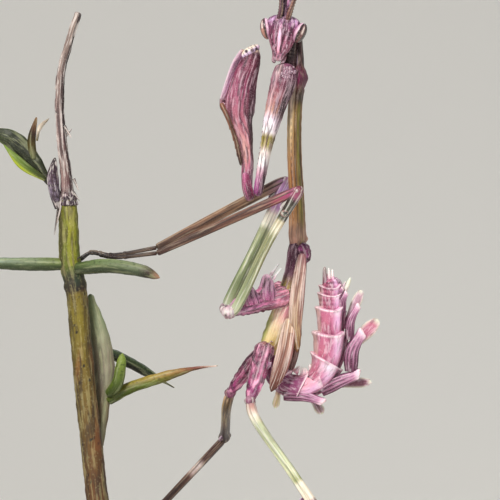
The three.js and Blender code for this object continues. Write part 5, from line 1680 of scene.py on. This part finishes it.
def hold_forms(leg):
    """A foot that holds the twig, with its two claws."""
    forms = [foot_form([leg["ankle"], *leg["foot"]], TARSUS_HALF, FOOT_PAINT)]
    before, end = np.array(leg["foot"][-2:])
    run = unit(end - before)
    for s in SIDES.values():
        middle = end + run * 0.25 + (0, s * 0.16, 0.1)
        path = [end - run * 0.1, middle, end + run * 0.42 + (0, s * 0.2, -0.12)]
        claw = loft(path, [(0, 0.1), (0.5, 0.075), (1, 0.02)], sides=12, rings=20, ends=(0, 0.05))
        forms.append(claw.painted(bands((0, "3a2420"), (1, "100808"))))
    return forms


for name, leg in WALKING_LEGS.items():
    pair, side = name.split("_")
    piece(f"{pair}_coxa_{side}_skin", coxa_forms(name, leg), PINK, "coxa", f"{pair}_coxa_{side}")
    thigh_skin = BROWN if name == "hind_right" else SAGE
    piece(f"{pair}_femur_{side}_skin", thigh_forms(name, leg), thigh_skin, "thigh", f"{pair}_femur_{side}")
    piece(f"{pair}_tibia_{side}_skin", shin_forms(name, leg), BROWN, "shin", f"{pair}_tibia_{side}")
    piece(f"{pair}_tarsus_{side}_skin", hold_forms(leg), BROWN, "foot", f"{pair}_tarsus_{side}")


# ---------------------------------------------------------------- twig
def twig_form(rows, dry):
    """A stretch of the twig: its dry tip, fissured lengthwise, or its smooth green stem with leaf scars."""
    run = np.concatenate([[0], np.cumsum([math.dist(a[:2], b[:2]) for a, b in zip(rows, rows[1:])])])
    keys = [(r / run[-1], h) for r, (_, _, h) in zip(run, rows)]
    heights = np.array([z for _, z, _ in rows])

    def z_at(u):
        return np.interp(u, run / run[-1], heights)

    def relief(u, a, s):
        z = z_at(u)
        if dry:
            return 0.05 * np.sin(np.radians(a) * 7 + s * 0.6) + 0.04 * np.sin(np.radians(a) * 12 - s * 0.9)
        ribs = 0.018 * np.sin(np.radians(a) * 9 + 0.5 * np.sin(s * 0.5))
        scars = 0.14 * near(z, 50.4, 0.7) * near(a, 30, 50) + 0.12 * near(z, 57.9, 0.45) * near(a, 180, 60)
        return ribs + scars + 0.1 * near(z, 48.4, 0.5) - 0.06 * near(z, 48.9, 0.2)

    form = loft([(x, 0, z) for x, z, _ in rows], keys, sides=72, rings=160 if dry else 400, relief=relief,
                ends=(0.2, 0.12))
    return roughened(form, 0.03, 1.1, 73).painted(lambda f: (dry_paint if dry else stem_paint)(f, z_at(f.u)))


def banded_by_height(z, stops):
    """Colours at the heights z from stops of (height, hex)."""
    light = np.array([rgb(code) for _, code in stops])
    return np.stack([np.interp(z, [level for level, _ in stops], light[:, i]) for i in range(3)], 1)


def dry_paint(f, z):
    """Grey-brown dead bark, with painted shade on its right side and painted light on its left."""
    return layered(
        banded_by_height(z,
                         [(57.6, "3c2430"), (58.6, "503440"), (59.1, "8c7074"), (61, "8c6c68"),
                          (66, "8c787a"), (71, "84706c"), (78, "a0948c")]),
        ("34201f", 0.9 * clamp(facing(f, (1, 0.1, 0)) * 1.8 - 0.3)),
        ("d0c0b8", 0.5 * clamp(facing(f, (-0.6, -1, 0)) * 2 - 1.2)),
    )


def stem_paint(f, z):
    """Green bark that turns brown downwards, with dark dots, a painted highlight and painted shade on its
    sides.
    """
    facing_right = facing(f, (1, -0.2, 0))
    dots = clamp(ripples(f.points, 0.5, 71) - 1.15) * 3
    return layered(
        banded_by_height(z,
                         [(8, "6a4430"), (14, "74482c"), (24, "7c5430"), (32, "80683a"), (40, "8a7a34"),
                          (45, "968a38"), (47.4, "8a7c34"), (47.9, "4a3424"), (48.3, "3c4434"),
                          (49.4, "4c5c44"), (50.6, "7c8634"), (54, "8e9234"), (57.3, "84862e"),
                          (57.9, "4a3040")]),
        # A painted highlight where the green part faces the camera.
        ("b0ac3c", 0.5 * near(facing(f, (0.35, -1, 0)), 1, 0.12) * ((z < 57) & (z > 50.5))),
        # Painted shade on the left side, and lower down on the right side too.
        ("4a4418", 0.55 * clamp(-facing_right) * (z < 57)),
        ("4a3020", 0.5 * clamp(2 * facing_right - 1) * (z < 47)),
        ("2c2010", 0.75 * dots * (z < 48.5)),
        ("a06a44", 0.4 * clamp(ripples(f.points * (1, 1, 0.25), 1.6, 72)) * (z < 44)),
    )


def node_ring():
    """The dark swollen ring where the green stem ends."""
    form = loft([(-14.55, 0, 57.0), (-14.6, 0, 58.7)],
                [(0, 1.04, 1.0), (0.25, 1.14, 1.1), (0.55, 0.98, 0.95), (1, 0.68, 0.66)], sides=48, rings=30,
                relief=lambda u, a, s: 0.05 * np.sin(np.radians(a * 7)) + 0.05 * np.sin(8 * s),
                ends=(0.2, 0.2))
    return form.painted(
        mottled([(0, "54384c"), (0.5, "3c2438"), (1, "6c5460")], "b8a0a8", 0.7, 0.45, 71, less=0.3))


def dry_bud():
    """The dead bud beside the node."""
    form = loft([(-15.6, -0.3, 56.8), (-16.2, -0.45, 60.0), (-15.95, -0.2, 62.4)],
                [(0, 0.3, 0.28), (0.25, 0.62, 0.5), (0.55, 0.82, 0.62), (0.8, 0.5, 0.4), (1, 0.06, 0.06)],
                sides=32, rings=50, ends=(0, 0.2),
                relief=lambda u, a, s: 0.08 * np.sin(np.radians(a) * 5 + s))
    return form.painted(
        mottled([(0, "3c2434"), (0.35, "9c90a4"), (0.6, "7a6478"), (1, "2c1c24")], "1c1018", 0.8, 0.4, 75))


BARK_FLAKES = [  # root and tip
    ((-15.5, 0.0, 57.6), (-16.0, -0.5, 53.9)),
    ((-15.2, -0.6, 57.4), (-15.7, -0.9, 55.2)),
    ((-13.9, -0.3, 58.6), (-13.2, -0.6, 57.6)),
    ((-13.9, 0.2, 60.1), (-13.35, 0.1, 58.8)),
    ((-15.1, -0.1, 66.0), (-15.95, -0.4, 67.6)),
    ((-14.9, -0.3, 65.9), (-14.15, -0.5, 64.6)),
    ((-14.9, 0.1, 64.6), (-14.1, 0.2, 65.6)),
    ((-15.4, -0.2, 71.0), (-15.95, -0.3, 69.9)),
]


def bark_flakes():
    """Flakes of dry skin on the tip and round the node, pale and dark by turns."""
    forms = []
    for i, (root, tip) in enumerate(BARK_FLAKES):
        flake = spine(root, tip, 0.17, sides=8, rings=14, blunt=0.3)
        forms.append(flake.painted(bands((0, "4c3834"), (1, "d0c4bc" if i % 2 else "3a2a2c"))))
    return forms


NODE_Z = 57  # the dry end starts at this height, and the green stem ends a little above it
dry_end = twig_form([row for row in TWIG if row[1] > NODE_Z], dry=True)
green_stem = twig_form([row for row in TWIG if row[1] < NODE_Z + 1], dry=False)
piece("perch_twig_dry_skin", [dry_end, node_ring(), dry_bud(), *bark_flakes()], DRY_BARK, "bark",
      "perch_twig")
piece("perch_twig_green_skin", [green_stem], BARK, "bark", "perch_twig")


def thorn_form(path, keys, top, under, freckle):
    """A side shoot: top and underside painted by bands, the underside darker as painted shade, freckles on
    both.
    """
    form = loft(path, keys, side=(0, 0, 1), sides=44, rings=120, shape=ridged((0, 0.06, 12), (180, 0.06, 14)),
                ends=(0.2, 0.3))

    def paint(f):
        low = clamp(0.5 - 1.6 * f.out[:, 2])[:, None]
        tint = bands(*top)(f) * (1 - low) + bands(*under)(f) * low
        return mixed(tint, freckle, 0.6 * clamp(2 * ripples(f.points, 0.45, 83) - 1.4))

    return roughened(form, 0.015, 0.9, 81).painted(paint)


def stout(root, tip=0.3):
    """Rows of a shoot that keeps its thickness almost to its end."""
    rows = [(0, 0.85, 0.8), (0.3, 1, 0.95), (0.8, 0.85, 0.8), (0.93, 0.55, 0.5)]
    return sized(rows, root, root) + [(1, 0.3 * tip, 0.3 * tip)]


def slender(root):
    """Rows of a shoot that draws out into a needle."""
    rows = [(0, 0.7, 0.65), (0.12, 1, 0.95), (0.5, 0.92, 0.85), (0.68, 0.62, 0.55), (0.8, 0.3, 0.28)]
    return sized(rows, root, root) + [(1, 0.05, 0.05)]


# Each shoot's under bands are darker than its top ones: painted shade.
SHOOTS = {
    "left": dict(
        path=[(-14.2, -0.2, 50.7), (-19.4, 0.3, 50.7), (-24.5, 0.8, 50.85)],
        keys=stout(0.7, 0.6),
        top=[(0, "8c9848"), (0.4, "94a084"), (1, "8c9a8c")],
        under=[(0, "4c5c28"), (1, "4c5c40")],
        freckle="5c6c44",
    ),
    "right": dict(
        path=[(-13.6, -0.7, 50.2), (-9.8, -3.0, 50.5), (-6.0, -4.3, 49.9), (-4.3, -4.8, 49.2)],
        keys=stout(0.75, 0.3),
        top=[(0, "5c6c34"), (0.3, "8a9a70"), (0.75, "8c9478"), (0.88, "5c4a3c"), (1, "c0a088")],
        under=[(0, "38441c"), (0.75, "5c6850"), (0.88, "3c2c28"), (1, "b08c78")],
        freckle="50603c",
    ),
    "low": dict(
        path=[(-10.2, 1.6, 35.5), (-8.3, 1.2, 36.8), (-4.4, 1.0, 38.15), (-0.55, 0.9, 39.2),
              (1.98, 0.9, 39.5)],
        keys=slender(0.62),
        top=[(0, "6c7a2c"), (0.2, "98923e"), (0.45, "b09c54"), (0.66, "a8854c"), (0.8, "8c5040"),
             (1, "ecdcd0")],
        under=[(0, "4c5a1c"), (0.4, "7c8a2c"), (0.7, "8a7038"), (0.85, "7a4434"), (1, "ecdcd0")],
        freckle="6a5c20",
    ),
    "short": dict(
        path=[(-10.1, 1.3, 36.3), (-9.1, 0.3, 37.6), (-8.5, -0.2, 40.9)],
        keys=stout(0.66, 0.4),
        top=[(0, "6a7c24"), (0.5, "8a9c3c"), (1, "a8b468")],
        under=[(0, "4c5c1c"), (0.6, "6c7c2c"), (1, "8a9c4c")],
        freckle="4c5c20",
    ),
    "far": dict(
        path=[(-10.2, 2.5, 41.0), (-7.0, 4.2, 39.3), (-2.9, 6.0, 36.9)],
        keys=slender(0.6),
        top=[(0, "3c5424"), (0.6, "42582a"), (1, "8a7c54")],
        under=[(0, "1c2c14"), (1, "2c3418")],
        freckle="24381c",
    ),
}
for name, shoot in SHOOTS.items():
    piece(f"perch_thorn_{name}_skin", [thorn_form(**shoot)], GREEN, "green_shoot", f"perch_thorn_{name}")


def side_stem_paint(f):
    """Grey-green with a brown foot and a pale line."""
    return layered(
        bands((0, "6c5438"), (0.25, "7c6c50"), (0.45, "948c80"), (0.6, "a09888"), (0.8, "98a084"),
              (1, "84906c"))(f),
        ("5c5440", 0.6 * clamp(-f.flow[:, 0] / 0.8)),
        ("c4c4ac", 0.5 * near(f.flow[:, 0], 0.35, 0.25)),
    )


def side_stem():
    """The flat grey-green side stem that runs up along the twig."""
    form = loft([(-11.2, 0.9, 30.4), (-10.75, 1.9, 35.6), (-10.7, 2.2, 39.6), (-11.2, 2.3, 43.0),
                 (-12.2, 2.4, 47.4)],
                [(0, 0.5, 0.5), (0.3, 0.8, 0.6), (0.55, 1.18, 0.6), (0.75, 0.98, 0.55), (1, 0.28, 0.28)],
                side=(1, 0, 0.2), sides=56, rings=140,
                shape=ridged((0, 0.06, 12), (180, 0.06, 12), (250, 0.05, 10)), ends=(0.4, 0.4))
    return roughened(form, 0.03, 1.2, 85).painted(side_stem_paint)


piece("perch_shoot_skin", [side_stem()], GREEN, "green_shoot", "perch_shoot")


def sprig_leaf_upper_paint(f):
    """Dark green, with a painted highlight where it faces up, and bright where it faces down."""
    return layered(
        bands((0, "5a4a40"), (0.25, "3c3820"), (0.4, "384014"), (0.7, "2c3410"), (1, "4a5424"))(f),
        ("a8b484", 0.9 * clamp(facing(f, (0, 0, 1)) * 3 - 2) * (f.u > 0.4)),
        ("78881c", 0.85 * clamp(-facing(f, (0, 0, 1)) * 2 - 0.6) * (f.u > 0.3)),
    )


def sprig_leaf_lower_paint(f):
    """Bright green with a yellow line."""
    return layered(
        bands((0, "4c4c1c"), (0.4, "6c8024"), (1, "8aa040"))(f),
        ("c0c848", 0.8 * near(f.flow[:, 0], -0.35, 0.18)),
    )


def sprig_forms():
    """The leaf that curls over at the top node, with its lower leaf, a dry bud and a dry flake."""
    upper = loft([(-15.0, 1.1, 57.8), (-16.9, 1.5, 60.1), (-18.4, 1.7, 62.1), (-21.1, 1.8, 64.6),
                  (-23.7, 1.9, 65.3)],
                 [(0, 0.3, 0.3), (0.25, 0.45, 0.38), (0.48, 0.93, 0.4), (0.66, 1.12, 0.38),
                  (0.85, 0.83, 0.3), (1, 0.08, 0.08)], side=(0, 0, 1), sides=64, rings=120,
                 shape=ridged((90, 0.1, 10), (270, 0.12, 8)), ends=(0.2, 0.3))
    lower = loft([(-17.0, 1.2, 60.0), (-19.4, 0.85, 61.5), (-21.7, 1.0, 63.9)],
                 [(0, 0.24, 0.22), (0.5, 0.52, 0.22), (1, 0.05, 0.05)], side=(0, 0, 1), sides=32, rings=80,
                 ends=(0.2, 0.3))
    bud = loft([(-18.4, 1.6, 62.2), (-18.6, 1.5, 64.4), (-18.05, 1.3, 66.9)],
               [(0, 0.42, 0.42), (0.45, 0.46, 0.42), (0.8, 0.28, 0.26), (1, 0.1, 0.1)], sides=28, rings=60,
               relief=lambda u, a, s: 0.05 * np.sin(np.radians(a) * 4 + s), ends=(0.2, 0.3))
    flake = leaf((-18.0, 1.3, 64.3), (-16.6, 0.9, 66.8), 0.26, (0.85, 0, 0.45), waist=0.12,
                 bend=(-17.7, 1.1, 65.7), thick=0.1, peak=0.5)
    return [
        roughened(upper, 0.03, 1.0, 87).painted(sprig_leaf_upper_paint),
        lower.painted(sprig_leaf_lower_paint),
        bud.painted(bands((0, "5c5c20"), (0.35, "6a5c28"), (0.6, "4c3420"), (1, "9a7a58"))),
        flake.painted(bands((0, "8a7a64"), (0.4, "d8d0c4"), (1, "a89c90"))),
    ]


piece("perch_sprig_skin", sprig_forms(), GREEN, "green_shoot", "perch_sprig")


# ---------------------------------------------------------------- stand
def walnut():
    """Oiled walnut: growth lines along the base's length, with fine pores."""
    material, tree, shader = blank("walnut")
    where = node(tree, "ShaderNodeTexCoord").outputs["Object"]
    warp = noise(tree, stretched(tree, where, (30, 110, 110)), 1.6, detail=2)
    lift = node(tree, "ShaderNodeVectorMath", operation="MULTIPLY_ADD")
    tree.links.new(warp, lift.inputs[0])
    lift.inputs[1].default_value = (0, 3.2, 3.2)
    tree.links.new(stretched(tree, where, (26, 420, 420)), lift.inputs[2])
    grain = noise(tree, lift.outputs["Vector"], 1.0, detail=6, rough=0.6)
    pores = noise(tree, stretched(tree, where, (160, 3200, 3200)), 1.0, detail=2)
    colour = node(tree, "ShaderNodeValToRGB")
    for element, position, code in zip(colour.color_ramp.elements, (0.3, 0.72), ("2e1c12", "7a5234")):
        element.position = position
        element.color = opaque(code)
    tree.links.new(grain, colour.inputs["Fac"])
    in_pores = scaled(tree, threshold(tree, pores, 0.6, 0.7), 0.6)
    pored = blend(tree, colour.outputs["Color"], "1c100a", in_pores)
    tree.links.new(pored, shader.inputs["Base Color"])
    link_bump(tree, shader, pores, 0.25, 0.05)
    set_numbers(shader, Roughness=0.42, Coat_Weight=0.25, Coat_Roughness=0.25)
    return material


def base_form():
    """The base as rings of one rounded outline, from the underside's edge over both bevels to the top."""
    corner = np.radians(np.arange(0, 91, 6))
    outline = []
    for q, (sx, sy) in enumerate(((1, 1), (-1, 1), (-1, -1), (1, -1))):
        centre = (sx * (BASE_LENGTH / 2 - BASE_CORNER), sy * (BASE_WIDTH / 2 - BASE_CORNER))
        outline += [(centre, corner_angle + q * np.pi / 2) for corner_angle in corner]
    turn = np.linspace(0, np.pi / 2, 6)
    profile = [(-BASE_BEVEL * (1 - np.sin(t)), BASE_BEVEL * (1 - np.cos(t))) for t in turn]
    profile += [(dx, BASE_HEIGHT - z) for dx, z in reversed(profile)]
    points = []
    for inset, z in profile:
        for centre, way in outline:
            r = BASE_CORNER + inset
            points.append((centre[0] + r * math.cos(way), centre[1] + r * math.sin(way), z))
    sides, rings = len(outline), len(profile)
    faces = tube_quads(rings, sides)
    faces += [tuple(reversed(range(sides))), tuple((rings - 1) * sides + j for j in range(sides))]
    points = np.array(points)
    zero = np.zeros(len(points))
    return Form(points, faces, zero, zero, np.zeros_like(points), points)


piece("stand_base_wood", [base_form()], walnut(), "base_wood", "stand_base", midplane=False)


def steel():
    """Satin steel, brushed along the rod."""
    material, tree, shader = blank("satin_steel")
    where = node(tree, "ShaderNodeTexCoord").outputs["Object"]
    brush = noise(tree, stretched(tree, where, (900, 900, 9000)), 1.0, detail=3)
    link_roughness(tree, shader, brush, 0.22, 0.42)
    set_numbers(shader, Base_Color=(0.62, 0.62, 0.63, 1), Metallic=1.0)
    return material


foot_x, foot_z = TWIG[-1][:2]
rod = loft([(foot_x, 0, BASE_HEIGHT - 1), (foot_x, 0, foot_z + 0.5)], [(0, ROD_RADIUS), (1, ROD_RADIUS)],
           sides=48, rings=12)
collar = loft([(foot_x, 0, BASE_HEIGHT - 0.2), (foot_x, 0, BASE_HEIGHT + 0.45)],
              [(0, 1.5), (0.6, 1.5), (0.9, 1.35), (1, 1.1)], sides=48, rings=12)
piece("stand_rod_steel", [rod, collar], steel(), "rod_steel", "stand_rod")


# ---------------------------------------------------------------- stage, light and camera
MIDDLE = (0.003, -0.004, 0.052)
LAMPS = {  # place and size in metres, watts, colour
    "key": ((-0.22, -0.52, 0.52), 0.2, 5.6, (1.0, 0.97, 0.93)),
    "fill": ((0.6, -0.5, 0.25), 0.6, 0.7, (0.93, 0.96, 1.0)),
    "back": ((0.25, 0.35, 0.5), 0.3, 1.0, (1, 1, 1)),
}
# The photo's width and middle, and how far away the camera stands, in mm.
VIEW_WIDTH, VIEW_DISTANCE, SENSOR = 55.0, 500.0, 36.0
VIEW_X, VIEW_Z = 5.5, 52.25


def plain(name, code, rough):
    """A material of one colour."""
    material, _, shader = blank(name)
    set_numbers(shader, Base_Color=opaque(code), Roughness=rough)
    return material


def sweep():
    """A pale floor that curves up into a backdrop behind the object."""
    near_y, bend_y, radius, height, half_width = -2.2, 0.45, 0.35, 2.4, 2.4
    turn = np.linspace(0, np.pi / 2, 24)
    section = [(near_y, 0.0)] + [(bend_y + radius * math.sin(t), radius * (1 - math.cos(t))) for t in turn]
    section.append((bend_y + radius, height))
    points = [(x, y, z) for y, z in section for x in (-half_width, half_width)]
    faces = [(2 * i, 2 * i + 1, 2 * i + 3, 2 * i + 2) for i in range(len(section) - 1)]
    mesh = bpy.data.meshes.new("floor_sweep")
    mesh.from_pydata(points, [], faces)
    mesh.shade_smooth()
    mesh.materials.append(plain("pale_floor", "f0eee8", 0.8))
    obj = bpy.data.objects.new("floor_sweep", mesh)
    bpy.context.scene.collection.objects.link(obj)


def lamp(name, place, size, watts, colour):
    """A round lamp that faces the object's middle."""
    light = bpy.data.lights.new(name, "AREA")
    light.shape = "DISK"
    light.size = size
    light.energy = watts
    light.color = colour
    obj = bpy.data.objects.new(name, light)
    obj.location = place
    obj.rotation_euler = (Vector(MIDDLE) - Vector(place)).to_track_quat("-Z", "Y").to_euler()
    bpy.context.scene.collection.objects.link(obj)


sweep()
for name, values in LAMPS.items():
    lamp(name, *values)
world = bpy.data.worlds.new("studio")
world.use_nodes = True
world.node_tree.nodes["Background"].inputs["Color"].default_value = (0.93, 0.95, 1.0, 1)
world.node_tree.nodes["Background"].inputs["Strength"].default_value = 0.22
bpy.context.scene.world = world

camera = bpy.data.objects.new("camera", bpy.data.cameras.new("camera"))
camera.data.sensor_width = SENSOR
camera.data.lens = SENSOR * VIEW_DISTANCE / VIEW_WIDTH
camera.data.clip_start = 0.01
camera.data.clip_end = 10.0
camera.location = (VIEW_X * MM, (MIDPLANE_Y - VIEW_DISTANCE) * MM, VIEW_Z * MM)
camera.rotation_euler = (math.pi / 2, 0, 0)
bpy.context.scene.collection.objects.link(camera)
bpy.context.scene.camera = camera
bpy.context.scene.view_settings.view_transform = "Standard"
